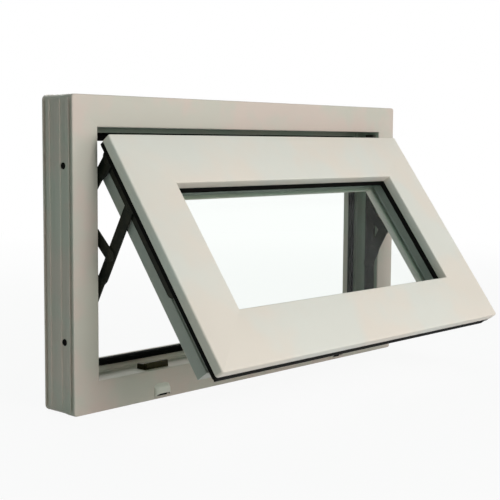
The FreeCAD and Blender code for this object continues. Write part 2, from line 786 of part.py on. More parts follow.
def make_arm(name, side, span, width, start, end, layers, joggle, rivets, holes=()):
    """A flat steel arm, cranked from one layer to the next, with its rivets in place.

    layers are the heights of its underside at both ends, joggle the two places along it
    between which it climbs, rivets tuples of (place along, foot height, head height) and
    holes places along it that a neighbour's rivet passes through.
    """
    label = "stay_%s_%s" % (name, side)
    first, second = layers
    climb_from, climb_to = joggle
    reach = width / 2
    thick = s.arm_thick
    flat = new_body(label + "_bent")
    bent = new_sketch(flat, label + "_bend", "XZ_Plane")
    draw_outline(bent, [
        (-reach, first), (climb_from, first), (climb_to, second), (span + reach, second),
        (span + reach, second + thick), (climb_to, second + thick),
        (climb_from, first + thick), (-reach, first + thick),
    ])
    pad(flat, bent, width + CUT_MARGIN, both_ways=True)
    blank = new_body(label + "_blank")
    plan = new_sketch(blank, label + "_plan", "XY_Plane")
    draw_outline(plan, capsule_corners(0.0, span, width))
    for along in holes:
        draw_circle(plan, along, ZERO, s.rivet_round + s.pivot_fit)
    pad(blank, plan, s.stack_height)
    strip = doc.addObject("Part::Common", label + "_strip")
    strip.Base = flat
    strip.Tool = blank
    pieces = [strip]
    for number, (along, foot, head) in enumerate(rivets):
        pieces += rivet("%s_rivet_%d" % (label, number), along, foot, head)
    arm = doc.addObject("Part::MultiFuse", label)
    arm.Shapes = pieces
    arm.Placement = stay_placement(side, start, end, 0.0)
    finish(arm)


def rivet(name, along, foot, head):
    """Shank from the foot height up to the head height, with a low wide head on top."""
    along = as_size(along)
    shank = doc.addObject("Part::Cylinder", name)
    bind(shank, "Radius", s.rivet_round / 2)
    bind(shank, "Height", head - foot)
    shank.Placement.Base = Vector(along.value, 0, foot.value)
    crown = doc.addObject("Part::Cylinder", name + "_head")
    bind(crown, "Radius", s.rivet_head / 2)
    bind(crown, "Height", s.rivet_head_high)
    crown.Placement.Base = Vector(along.value, 0, head.value)
    return [shank, crown]


def make_stay_arms(side):
    """Short arm, link and long arm between their pivots."""
    lower = lower_layer
    middle = middle_layer
    in_track = s.track_sheet + s.slide_fit
    on_lower = lower_layer + s.arm_thick
    on_middle = middle_layer + s.arm_thick
    in_bar = s.stack_height - s.rivet_head_high - s.slide_fit / 2
    top, upper = stay_point("top"), stay_point("upper")
    link, crank = stay_point("link"), stay_point("middle")
    base, end = stay_point("lower"), stay_point("end")
    half_head = s.rivet_head_high / 2
    span = s.short_arm_span
    make_arm("short_arm", side, span, s.short_arm_wide, top, upper, (lower, middle),
             [span * share for share in SHORT_ARM_CRANK],
             [(ZERO, in_track, on_lower - half_head), (span, middle, in_bar)])
    span = s.link_span
    make_arm("link", side, span, s.link_wide, link, crank, (lower, lower),
             [span * share for share in SHORT_ARM_CRANK],
             [(ZERO, in_track, on_lower - half_head)], [span])
    span = s.long_arm_span
    link_along = s.lower_pivot_drop - s.slider_low_drop - s.link_span
    make_arm("long_arm", side, span, s.arm_wide, base, end, (lower, middle),
             (s.crank_start, s.crank_end),
             [(ZERO, in_track, on_lower - half_head),
              (link_along, lower, on_middle - half_head), (span, middle, in_bar)])


def make_sash_bar(side):
    """Bar on the sash's side, drilled and sunk for the rivets of the two arms."""
    label = "stay_sash_bar_" + side
    body = new_body(label)
    length = s.sash_bar_end - s.sash_bar_start
    reach = s.sash_bar_wide / 2
    plan = new_sketch(body, label + "_plan", "XY_Plane")
    draw_outline(plan, capsule_corners(reach, length - reach, s.sash_bar_wide))
    upper = upper_rivet_inset - s.sash_bar_start
    lower = lower_rivet_inset - s.sash_bar_start
    for along in (upper, lower):
        draw_circle(plan, along, ZERO, s.rivet_round + s.pivot_fit)
    pad(body, plan, s.arm_thick)
    sinks = new_sketch(body, label + "_sinks", "XY_Plane", s.arm_thick)
    for along in (upper, lower):
        draw_circle(sinks, along, ZERO, s.rivet_head + s.pivot_fit)
    pocket(body, sinks, s.rivet_head_high + s.slide_fit)
    top = sash_pose.multVec(Vector(0, hardware_line.value,
                                   sash_height.value - s.sash_bar_start.value))
    foot = sash_pose.multVec(Vector(0, hardware_line.value, 0))
    body.Placement = stay_placement(side, (top.y, top.z), (foot.y, foot.z), bar_layer.value)
    finish(body)


def make_keep(side):
    """Keep on the sill: a plate, the wall that the lock's cam slides behind and an end wall."""
    way = -1 if side == "left" else 1
    label = "keep_" + side
    body = new_body(label)
    front = s.track_line - s.cam_round / 2 - s.keep_wall - s.slide_fit
    plate = new_sketch(body, label + "_plate", "XY_Plane")
    draw_outline(plate, box_corners(ZERO, front, s.keep_long, front + s.keep_wide))
    for share in KEEP_SCREWS:
        draw_circle(plate, s.keep_long * share, front + s.keep_screw_line, s.keep_screw)
    pad(body, plate, s.keep_plate)
    wall = new_sketch(body, label + "_wall", "XZ_Plane", -front)
    slope = s.keep_bevel
    draw_outline(wall, [
        (ZERO, ZERO), (s.keep_long, ZERO), (s.keep_long, s.keep_rise - slope),
        (s.keep_long - slope, s.keep_rise), (slope, s.keep_rise), (ZERO, s.keep_rise - slope),
    ])
    pad(body, wall, s.keep_wall, reverse=True)
    end = new_sketch(body, label + "_end_wall", "XY_Plane")
    draw_outline(end, box_corners(ZERO, front, s.keep_wall, front + s.keep_wide))
    pad(body, end, s.keep_end_rise)
    x = -s.frame_width.value / 2 + s.keep_from_side.value
    if way == 1:
        x = s.frame_width.value / 2 - s.keep_from_side.value - s.keep_long.value
    body.Placement = Placement(Vector(x, face_y, s.frame_face.value), Rotation())
    finish(body)


def make_weep_cap(side):
    """Hooded cap over a drain slot, open along its lower edge."""
    way = -1 if side == "left" else 1
    label = "weep_cap_" + side
    body = new_body(label)
    low, high, reach, wall = s.cap_low, s.cap_high, s.cap_reach, s.cap_wall
    hood = new_sketch(body, label + "_hood", "YZ_Plane")
    draw_outline(hood, [
        (ZERO, low), (ZERO, high), (-reach / 2, high - reach / 4),
        (-reach, high - reach), (-reach, low),
    ])
    pad(body, hood, s.cap_long, both_ways=True)
    room = new_sketch(body, label + "_room", "YZ_Plane")
    draw_outline(room, [
        (ZERO, low - wall), (ZERO, high - wall * 2), (-reach / 2, high - reach / 4 - wall * 2),
        (-reach + wall, high - reach - wall), (-reach + wall, low - wall),
    ])
    cut = body.newObject("PartDesign::Pocket", label + "_room_cut")
    cut.Profile = room
    bind(cut, "Length", s.cap_long - wall * 2)
    cut.SideType = "Symmetric"
    doc.recompute()
    x = way * (s.frame_width.value / 2 - s.cap_from_side.value - s.cap_long.value / 2)
    body.Placement = Placement(Vector(x, face_y, 0), Rotation())
    finish(body)


def make_lock_rail():
    """Sliding faceplate in the bottom rail's groove with one cam for each keep."""
    body = new_body("lock_rail")
    half = s.hardware_groove_wide / 2 - s.slide_fit
    plan = new_sketch(body, "lock_rail_plan", "XY_Plane")
    end = cam_middle + s.lock_rail_end - half
    draw_outline(plan, capsule_corners(-end, end, half * 2))
    pad(body, plan, s.lock_rail_thick)
    cams = new_sketch(body, "lock_cams", "XY_Plane")
    for side in (1, -1):
        draw_circle(cams, cam_middle * side, ZERO, s.cam_round)
    pad(body, cams, s.cam_high, reverse=True)
    seat = sash_side + s.hardware_groove_deep - s.lock_rail_thick
    local = Placement(Vector(0, hardware_line.value, seat.value), Rotation())
    body.Placement = sash_pose.multiply(local)
    finish(body)


def make_handle():
    """Indoor handle on the bottom rail: a long rounded plate and a tapering lever."""
    middle = Vector(0, s.sash_depth.value, (sash_side + (rebate_floor - sash_side) / 2).value)
    indoors = Rotation(Vector(1, 0, 0), -90)
    local = Placement(middle, indoors)
    plate = new_body("handle_plate")
    half = s.handle_plate_long / 2 - s.handle_plate_wide / 2
    plan = new_sketch(plate, "handle_plate_plan", "XY_Plane")
    draw_outline(plan, capsule_corners(-half, half, s.handle_plate_wide))
    pad(plate, plan, s.handle_plate_thick)
    plate.Placement = sash_pose.multiply(local)
    finish(plate)

    lever = new_body("handle_lever")
    neck = new_sketch(lever, "handle_neck", "XY_Plane", s.handle_plate_thick)
    draw_circle(neck, ZERO, ZERO, s.handle_neck_round)
    pad(lever, neck, s.handle_neck_long)
    grip_low = s.handle_plate_thick + s.handle_neck_long - s.handle_lever_thick / 2
    shapes = [("root", -s.handle_neck_round / 2, s.handle_lever_wide, s.handle_lever_thick)]
    for name, (along, widen, thicken) in LEVER_SECTIONS.items():
        shapes.append((name, s.handle_lever_long * along, s.handle_lever_wide * widen,
                       s.handle_lever_thick * thicken))
    sections = []
    for name, place, wide, thick in shapes:
        section = new_sketch(lever, "handle_" + name, "YZ_Plane", place)
        half_wide, soft = wide / 2, thick / 4
        low, high = grip_low, grip_low + thick
        draw_outline(section, [
            (-half_wide, low + soft), (-half_wide + soft, low), (half_wide - soft, low),
            (half_wide, low + soft), (half_wide, high - soft), (half_wide - soft, high),
            (-half_wide + soft, high), (-half_wide, high - soft),
        ])
        sections.append(section)
    grip = lever.newObject("PartDesign::AdditiveLoft", "handle_grip")
    grip.Profile = sections[0]
    grip.Sections = sections[1:]
    grip.Ruled = False
    doc.recompute()
    lever.Placement = sash_pose.multiply(local)
    finish(lever)


finished = []


def finish(thing):
    """Label a finished sub-part and put it on the list of pieces to write."""
    thing.Label = thing.Name
    finished.append(thing)


def write_parts():
    """Check every object and write each sub-part to its own file."""
    doc.recompute()
    for thing in doc.Objects:
        if "Invalid" in thing.State or "Error" in thing.State:
            raise RuntimeError("%s failed: %s" % (thing.Name, thing.State))
    for thing in finished:
        if thing.Shape.isNull() or not thing.Shape.isValid():
            raise RuntimeError("%s has no valid shape" % thing.Name)
    os.makedirs("parts", exist_ok=True)
    for thing in finished:
        thing.Shape.exportStep("parts/%s.step" % thing.Label)
        print("%-22s %10.1f mm3" % (thing.Label, thing.Shape.Volume))


make_frame_rails()
make_frame_seals()
make_sash()
make_glass()
for stay_side in ("left", "right"):
    make_track(stay_side)
    make_slider(stay_side)
    make_stay_arms(stay_side)
    make_sash_bar(stay_side)
    make_keep(stay_side)
    make_weep_cap(stay_side)
make_lock_rail()
make_handle()
write_parts()
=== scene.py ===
"""Top hung awning window in pale plastic, swung open on two friction stays.

Metres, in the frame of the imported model: X along the width, +Y indoors, +Z up, with the origin
in the middle of the sill's underside. Profiles of rails, seals and beads are rows of
(distance inwards from the outer edge, depth behind the face, rounding), in millimetres.
"""

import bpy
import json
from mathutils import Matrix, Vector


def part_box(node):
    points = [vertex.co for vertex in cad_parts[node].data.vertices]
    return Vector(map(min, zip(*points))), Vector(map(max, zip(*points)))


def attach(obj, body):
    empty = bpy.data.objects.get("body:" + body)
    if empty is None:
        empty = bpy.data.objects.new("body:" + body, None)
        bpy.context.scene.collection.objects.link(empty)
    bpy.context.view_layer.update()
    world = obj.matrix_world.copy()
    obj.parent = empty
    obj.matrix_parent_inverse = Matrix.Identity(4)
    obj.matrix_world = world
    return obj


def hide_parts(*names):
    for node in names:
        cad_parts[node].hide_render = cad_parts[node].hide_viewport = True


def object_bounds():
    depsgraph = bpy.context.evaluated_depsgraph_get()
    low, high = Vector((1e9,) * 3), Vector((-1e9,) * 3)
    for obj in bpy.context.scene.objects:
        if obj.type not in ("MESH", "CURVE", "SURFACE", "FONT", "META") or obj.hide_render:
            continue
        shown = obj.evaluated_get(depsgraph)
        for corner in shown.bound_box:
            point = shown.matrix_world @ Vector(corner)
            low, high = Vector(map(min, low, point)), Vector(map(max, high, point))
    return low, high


bl_info = {
    "name": "Top Hung Awning Window",
    "version": (1, 0, 0),
    "blender": (4, 5, 0),
    "location": "3D Viewport > Sidebar > Window",
    "description": "Builds the looks of a small top hung window around its packed model",
    "category": "Object",
}

import json
import math

import bpy
import numpy as np
from bpy.props import FloatProperty, FloatVectorProperty, PointerProperty
from mathutils import Matrix, Vector

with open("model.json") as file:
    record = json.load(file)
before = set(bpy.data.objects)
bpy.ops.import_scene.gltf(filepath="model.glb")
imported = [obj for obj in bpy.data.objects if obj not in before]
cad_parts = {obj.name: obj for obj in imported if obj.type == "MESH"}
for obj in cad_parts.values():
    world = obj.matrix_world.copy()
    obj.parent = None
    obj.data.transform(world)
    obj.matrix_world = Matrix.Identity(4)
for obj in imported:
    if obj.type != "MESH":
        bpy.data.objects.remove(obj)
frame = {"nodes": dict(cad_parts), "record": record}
CAD_LOW, CAD_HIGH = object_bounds()
SILL_LOW, SILL_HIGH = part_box("frame_sill")
MM = 0.001
BODY = "root"
ACROSS, INDOORS, UPWARDS = np.eye(3)
COLOUR_RANGE = {"subtype": "COLOR", "min": 0.0, "max": 1.0}


class WindowSizes(bpy.types.PropertyGroup):
    """Lengths that the dressed pieces share."""

    frame_width: FloatProperty(
        name="Frame Width", description="Outer width of the fixed frame",
        default=CAD_HIGH.x - CAD_LOW.x, unit="LENGTH")
    frame_height: FloatProperty(
        name="Frame Height", description="Outer height of the fixed frame",
        default=CAD_HIGH.z - CAD_LOW.z, unit="LENGTH")
    frame_depth: FloatProperty(
        name="Frame Depth", description="Depth of the frame from outdoors to indoors",
        default=SILL_HIGH[1] - SILL_LOW[1], unit="LENGTH")
    frame_round: FloatProperty(
        name="Frame Corner", description="Rounding of the frame's welded corners in front",
        default=4.0 * MM, unit="LENGTH")
    frame_rear_round: FloatProperty(
        name="Frame Rear Corner", description="Rounding of the same corners behind the first rib",
        default=7.0 * MM, unit="LENGTH")
    frame_face: FloatProperty(
        name="Frame Face", description="Width of the frame's face round the opening",
        default=40.0 * MM, unit="LENGTH")
    sash_width: FloatProperty(
        name="Sash Width", description="Outer width of the lapping sash",
        default=607.0 * MM, unit="LENGTH")
    sash_height: FloatProperty(
        name="Sash Height", description="Outer height of the lapping sash",
        default=332.0 * MM, unit="LENGTH")
    sash_round: FloatProperty(
        name="Sash Corner", description="Rounding of the sash's welded outer corners",
        default=3.5 * MM, unit="LENGTH")
    glass_setback: FloatProperty(
        name="Glass Setback", description="Depth of the outer pane behind the sash's face",
        default=20.0 * MM, unit="LENGTH")
    glass_edge: FloatProperty(
        name="Glass Edge", description="Distance of the pane's edge from the sash's outer edge",
        default=62.5 * MM, unit="LENGTH")
    weld_groove: FloatProperty(
        name="Weld Groove", description="Depth of the scraped groove along each mitred weld",
        default=0.07 * MM, unit="LENGTH")


class WindowColours(bpy.types.PropertyGroup):
    """Base colours of the finishes."""

    # painted shade: frame and sash are one white plastic, and this frame colour is painted
    # darker, standing for the less light its faces get
    frame_plastic: FloatVectorProperty(
        name="Frame Plastic", description="Warm light grey of the fixed frame",
        default=(0.66, 0.55, 0.495), **COLOUR_RANGE)
    frame_plastic_cool: FloatVectorProperty(
        name="Frame Plastic, Cool Patches", description="Greener tone that drifts in and out",
        default=(0.605, 0.565, 0.50), **COLOUR_RANGE)
    # painted light: this sash colour is painted lighter than the frame's, standing for its face
    # that looks up into the light
    sash_plastic: FloatVectorProperty(
        name="Sash Plastic", description="Pale cream grey of the sash",
        default=(0.83, 0.735, 0.665), **COLOUR_RANGE)
    sash_plastic_cool: FloatVectorProperty(
        name="Sash Plastic, Cool Patches", description="Greener tone that drifts in and out",
        default=(0.79, 0.755, 0.705), **COLOUR_RANGE)
    seal_rubber: FloatVectorProperty(
        name="Seal Rubber", description="Black of the rubber seals",
        default=(0.0035, 0.0035, 0.003), **COLOUR_RANGE)
    clear_glass: FloatVectorProperty(
        name="Clear Glass", description="Faint green of the float glass",
        default=(0.985, 1.0, 0.99), **COLOUR_RANGE)
    stay_steel: FloatVectorProperty(
        name="Stay Steel", description="Dark brown grey of the friction stays",
        default=(0.030, 0.029, 0.021), **COLOUR_RANGE)
    keep_bronze: FloatVectorProperty(
        name="Keep Bronze", description="Dark bronze of the keeps",
        default=(0.022, 0.018, 0.006), **COLOUR_RANGE)
    cap_plastic: FloatVectorProperty(
        name="Cap Plastic", description="Light grey of the drain caps",
        default=(0.80, 0.77, 0.70), **COLOUR_RANGE)
    lock_steel: FloatVectorProperty(
        name="Lock Steel", description="Zinc grey of the lock rail",
        default=(0.38, 0.38, 0.37), **COLOUR_RANGE)
    spacer_metal: FloatVectorProperty(
        name="Spacer Metal", description="Greenish grey of the glass spacer",
        default=(0.30, 0.33, 0.30), **COLOUR_RANGE)
    handle_paint: FloatVectorProperty(
        name="Handle Paint", description="Pale powder coat of the handle",
        default=(0.66, 0.65, 0.59), **COLOUR_RANGE)


class StageSettings(bpy.types.PropertyGroup):
    """Light and camera."""

    world_light: FloatProperty(
        name="World Light", description="Strength of the even light from all sides",
        default=0.2, min=0.0)
    lamp_power: FloatProperty(
        name="Lamp Power", description="Power that the soft lamps take their shares of",
        default=48.0, min=0.0, unit="POWER")
    lens: FloatProperty(
        name="Lens", description="Focal length of the camera, in millimetres", default=80.5)
    yaw: FloatProperty(
        name="Yaw", description="Heading of the camera, clockwise from straight indoors",
        default=math.radians(47.85), subtype="ANGLE")
    pitch: FloatProperty(
        name="Pitch", description="How far the camera looks down",
        default=math.radians(5.474), subtype="ANGLE")
    roll: FloatProperty(
        name="Roll", description="Turn of the camera about its own line of sight",
        default=math.radians(0.372), subtype="ANGLE")
    camera_place: FloatVectorProperty(
        name="Camera Place", description="Where the camera stands",
        default=(-1.2039, -1.1064, 0.3417), subtype="TRANSLATION")


def sizes():
    """The scene's window sizes."""
    return bpy.context.scene.window_sizes


# Shader nodes

HUE, NUMBER, VECTOR = "NodeSocketColor", "NodeSocketFloat", "NodeSocketVector"
GREY, WHITE = (0.5, 0.5, 0.5, 1.0), (1.0, 1.0, 1.0, 1.0)
# the Mix node's sockets for colours
MIX_FIRST, MIX_SECOND, MIX_RESULT = 6, 7, 2


def feed(tree, source, socket):
    """Link another node's output to a socket, or else set the socket's plain value."""
    if isinstance(source, bpy.types.NodeSocket):
        tree.links.new(source, socket)
    else:
        socket.default_value = source


def node(tree, kind, place, settings=None, **sources):
    """Add a node with its settings, and feed the inputs that are given by name."""
    made = tree.nodes.new("ShaderNode" + kind)
    made.location = place
    for name, value in (settings or {}).items():
        setattr(made, name, value)
    for name, source in sources.items():
        feed(tree, source, made.inputs[name.replace("_", " ")])
    return made


def math_node(tree, operation, place, first, second, kind="Math"):
    """The result of a Math or a VectorMath node."""
    made = node(tree, kind, place, {"operation": operation})
    feed(tree, first, made.inputs[0])
    feed(tree, second, made.inputs[1])
    return made.outputs[0]


def mix_colours(tree, place, share, first, second, blend="MIX"):
    """The first colour where the share is 0, the second where it is 1."""
    made = node(tree, "Mix", place, {"data_type": "RGBA", "blend_type": blend}, Factor=share)
    feed(tree, first, made.inputs[MIX_FIRST])
    feed(tree, second, made.inputs[MIX_SECOND])
    return made.outputs[MIX_RESULT]


def mix_surfaces(tree, output, share, first, second):
    """Show the first shader where the share is 0, the second where it is 1."""
    mix = node(tree, "MixShader", (350, 400))
    for source, socket in zip((share, first.outputs[0], second.outputs[0]), mix.inputs):
        feed(tree, source, socket)
    feed(tree, mix.outputs[0], output.inputs["Surface"])


def ramp(tree, place, source, low, high=1.0, curve="LINEAR", foot=0.0):
    """The foot value up to low, climbing to 1 at high."""
    made = node(tree, "MapRange", place, {"interpolation_type": curve}, Value=source,
                From_Min=low, From_Max=high, To_Min=foot)
    return made.outputs["Result"]


def object_place(tree, place):
    """Object coordinates."""
    return node(tree, "TexCoord", place).outputs["Object"]


def noise(tree, place, spot, scale, detail, rough=0.6):
    """The outputs, Fac and Color, of a noise at a spot."""
    made = node(tree, "TexNoise", place, Vector=spot, Scale=scale, Detail=detail,
                Roughness=rough)
    return made.outputs


def seen_by_eye(tree):
    """1 for camera, glossy and transmission rays, so that metal and glass see it too."""
    path = node(tree, "LightPath", (-700, 600)).outputs
    seen = math_node(tree, "MAXIMUM", (-500, 600), path["Is Camera Ray"], path["Is Glossy Ray"])
    return math_node(tree, "MAXIMUM", (-300, 600), seen, path["Is Transmission Ray"])


# Effects that materials share

def new_group(name, inputs, outputs):
    """An empty shader group, what it is given and what it puts out.

    Inputs are rows of (name, kind, default) and outputs rows of (name, kind).
    """
    group = bpy.data.node_groups.new(name, "ShaderNodeTree")
    for title, kind, default in inputs:
        socket = group.interface.new_socket(title, in_out="INPUT", socket_type=kind)
        socket.default_value = default
    for title, kind in outputs:
        group.interface.new_socket(title, in_out="OUTPUT", socket_type=kind)
    inner = group.nodes.new("NodeGroupInput")
    outer = group.nodes.new("NodeGroupOutput")
    inner.location, outer.location = (-900, 0), (700, 0)
    return group, inner.outputs, outer.inputs


def mottle_group():
    """Two tones that drift into each other, with broad soft blotches and fine specks.

    Tone = 1 + Blotch (broad noise - 0.5) + Speck (fine noise - 0.5) scales the colour. The
    second tone comes in where another channel of the broad noise is high, and the fine noise
    is the Height.
    """
    group, given, result = new_group(
        "Mottle",
        [("Color", HUE, GREY), ("Second Color", HUE, GREY), ("Blotch", NUMBER, 0.06),
         ("Blotch Scale", NUMBER, 9.0), ("Speck", NUMBER, 0.03), ("Speck Scale", NUMBER, 900.0),
         ("Roughness", NUMBER, 0.4), ("Roughness Spread", NUMBER, 0.08)],
        [("Color", HUE), ("Roughness", NUMBER), ("Height", NUMBER)])
    spot = object_place(group, (-900, 300))
    broad = noise(group, (-700, 300), spot, given["Blotch Scale"], 3.0)
    fine = noise(group, (-700, 0), spot, given["Speck Scale"], 4.0, 0.65)
    channels = node(group, "SeparateColor", (-500, 550), Color=broad["Color"])
    drift = ramp(group, (-300, 550), channels.outputs["Green"], 0.40, 0.60, "SMOOTHSTEP")
    tones = mix_colours(group, (-100, 550), drift, given["Color"], given["Second Color"])

    def swing(source, amount, place):
        """(source - 0.5) x amount."""
        centred = math_node(group, "SUBTRACT", place, source, 0.5)
        return math_node(group, "MULTIPLY", (place[0] + 170, place[1]), centred, amount)

    blotch = swing(broad["Fac"], given["Blotch"], (-500, 300))
    speck = swing(fine["Fac"], given["Speck"], (-500, 50))
    both = math_node(group, "ADD", (-150, 200), blotch, speck)
    tone = math_node(group, "ADD", (20, 200), both, 1.0)
    scaled = node(group, "VectorMath", (200, 200), {"operation": "SCALE"}, Vector=tones,
                  Scale=tone)
    spread = swing(broad["Fac"], given["Roughness Spread"], (-500, -250))
    feed(group, scaled.outputs[0], result["Color"])
    feed(group, math_node(group, "ADD", (200, -200), spread, given["Roughness"]),
         result["Roughness"])
    feed(group, fine["Fac"], result["Height"])
    return group


def layer_group(name, layer, hue, amount, scale, detail, rough, low, high, settles):
    """A layer's colour over another, with a share of Amount x where it settles x patches.

    The patches are object noise, which climbs from 0 at low to 1 at high.
    """
    group, given, result = new_group(
        name, [("Color", HUE, GREY), (layer, HUE, hue), ("Amount", NUMBER, amount),
               ("Scale", NUMBER, scale)], [("Color", HUE)])
    patchy = noise(group, (-700, 0), object_place(group, (-900, 0)), given["Scale"], detail,
                   rough)
    patches = ramp(group, (-500, 0), patchy["Fac"], low, high)
    covered = math_node(group, "MULTIPLY", (-300, 200), settles(group), patches)
    share = math_node(group, "MULTIPLY", (-120, 200), covered, given["Amount"])
    mixed = mix_colours(group, (200, 200), share, given["Color"], given[layer])
    feed(group, mixed, result["Color"])
    return group


def on_edges(group):
    """Where the surface is pointed: from a pointiness of 0.52, in full from 0.62."""
    shape = node(group, "NewGeometry", (-900, 300))
    return ramp(group, (-600, 300), shape.outputs["Pointiness"], 0.52, 0.62)


def on_tops(group):
    """Where the surface looks up: from a normal's height of 0.3, in full at 1."""
    facing = node(group, "NewGeometry", (-900, 300))
    split = node(group, "SeparateXYZ", (-700, 300), Vector=facing.outputs["Normal"])
    return ramp(group, (-500, 300), split.outputs["Z"], 0.3)


def edge_rub_and_highlight_group():
    """A colour on patches of the edges: rubbed metal on the metals, a lighter painted highlight
    on the plastics.
    """
    return layer_group("Edge Rub And Highlight", "Worn Color", GREY, amount=0.5, scale=150.0, detail=4.0,
                       rough=0.6, low=0.42, high=0.62, settles=on_edges)


def dust_group():
    """Patches of dust on faces that look up."""
    return layer_group("Settled Dust", "Dust", (0.45, 0.42, 0.36, 1.0), amount=0.3,
                       scale=40.0, detail=5.0, rough=0.7, low=0.35, high=0.75,
                       settles=on_tops)


def streak_group():
    """Fine drawn lines: noise on coordinates squeezed by Stretch, so that it runs one way."""
    group, given, result = new_group(
        "Drawn Streaks",
        [("Stretch", VECTOR, (0.03, 1.0, 1.0)), ("Scale", NUMBER, 1500.0),
         ("Height In", NUMBER, 0.0)], [("Height", NUMBER)])
    squeezed = math_node(group, "MULTIPLY", (-700, 0), object_place(group, (-900, 0)),
                         given["Stretch"], "VectorMath")
    lines = noise(group, (-500, 0), squeezed, given["Scale"], 2.0)
    feed(group, math_node(group, "ADD", (-200, 0), lines["Fac"], given["Height In"]),
         result["Height"])
    return group


GROUP_MAKERS = {"Mottle": mottle_group, "Settled Dust": dust_group,
                "Edge Rub And Highlight": edge_rub_and_highlight_group, "Drawn Streaks": streak_group}


def group_node(tree, name, place, **sources):
    """The outputs of a shared effect, which is built the first time that it is placed."""
    group = bpy.data.node_groups.get(name) or GROUP_MAKERS[name]()
    return node(tree, "Group", place, {"node_tree": group}, **sources).outputs


# Materials

BUMP_DISTANCE = 0.1 * MM
GLASS_IOR = 1.09
# colour of the light that goes straight on through a pane's surface
GLASS_PASSES = (0.76, 0.82, 0.79, 1.0)


def new_material(name, **sources):
    """A material, its tree and its Principled shader, with the inputs that are given."""
    material = bpy.data.materials.new(name)
    material.use_nodes = True
    tree = material.node_tree
    shader = tree.nodes["Principled BSDF"]
    for title, value in sources.items():
        feed(tree, value, shader.inputs[title.replace("_", " ")])
    return material, tree, shader


def solid_finish(name, colour, rough, second=None, metal=0.0, blotch=0.05, blotch_scale=9.0,
                 speck=0.03, speck_scale=900.0, dust=0.0, edge_rub_and_highlight_colour=None, edge_rub_and_highlight_share=0.0, stretch=None,
                 bump=0.1, specular=0.25, shade_tint=None):
    """A mottled, lightly dusty finish with rubbed edges, shared by plastics, rubber and metals;
    on the plastics the lighter edges are a painted highlight.

    Where a mesh's own attribute marks painted shade, a greenish shade tint multiplies the colour.
    """
    material, tree, shader = new_material(name, Metallic=metal, Specular_IOR_Level=specular)
    mottle = group_node(tree, "Mottle", (-800, 200), Color=(*colour, 1.0),
                        Second_Color=(*(second or colour), 1.0), Blotch=blotch,
                        Blotch_Scale=blotch_scale, Speck=speck, Speck_Scale=speck_scale,
                        Roughness=rough)
    edges = group_node(tree, "Edge Rub And Highlight", (-560, 200), Color=mottle["Color"],
                       Worn_Color=(*(edge_rub_and_highlight_colour or colour), 1.0), Amount=edge_rub_and_highlight_share)
    last = group_node(tree, "Settled Dust", (-350, 200), Color=edges["Color"],
                      Amount=dust)["Color"]
    # painted shade: a greenish tint darkens the marked parts, which lie in shade
    if shade_tint:
        shade_mask = node(tree, "Attribute", (-560, 500), {"attribute_name": "shade_mask"})
        last = mix_colours(tree, (-150, 400), shade_mask.outputs["Fac"], last, (*shade_tint, 1.0),
                           "MULTIPLY")
    height = mottle["Height"]
    if stretch:
        height = group_node(tree, "Drawn Streaks", (-560, -300), Stretch=stretch,
                            Height_In=height)["Height"]
    bumps = node(tree, "Bump", (-200, -300), Strength=bump, Distance=BUMP_DISTANCE,
                 Height=height)
    for title, source in (("Base Color", last), ("Roughness", mottle["Roughness"]),
                          ("Normal", bumps.outputs["Normal"])):
        feed(tree, source, shader.inputs[title])
    return material


def glass_finish(name, colour):
    """Clear float glass: at each surface, most of a lamp's light goes straight on."""
    material, tree, shader = new_material(name, Base_Color=(*colour, 1.0), Roughness=0.0,
                                          IOR=GLASS_IOR, Transmission_Weight=1.0)
    path = node(tree, "LightPath", (-300, 500)).outputs
    clear = node(tree, "BsdfTransparent", (0, 500), Color=GLASS_PASSES)
    either = math_node(tree, "MAXIMUM", (-100, 600), path["Is Shadow Ray"],
                       path["Is Diffuse Ray"])
    mix_surfaces(tree, tree.nodes["Material Output"], either, shader, clear)
    return material


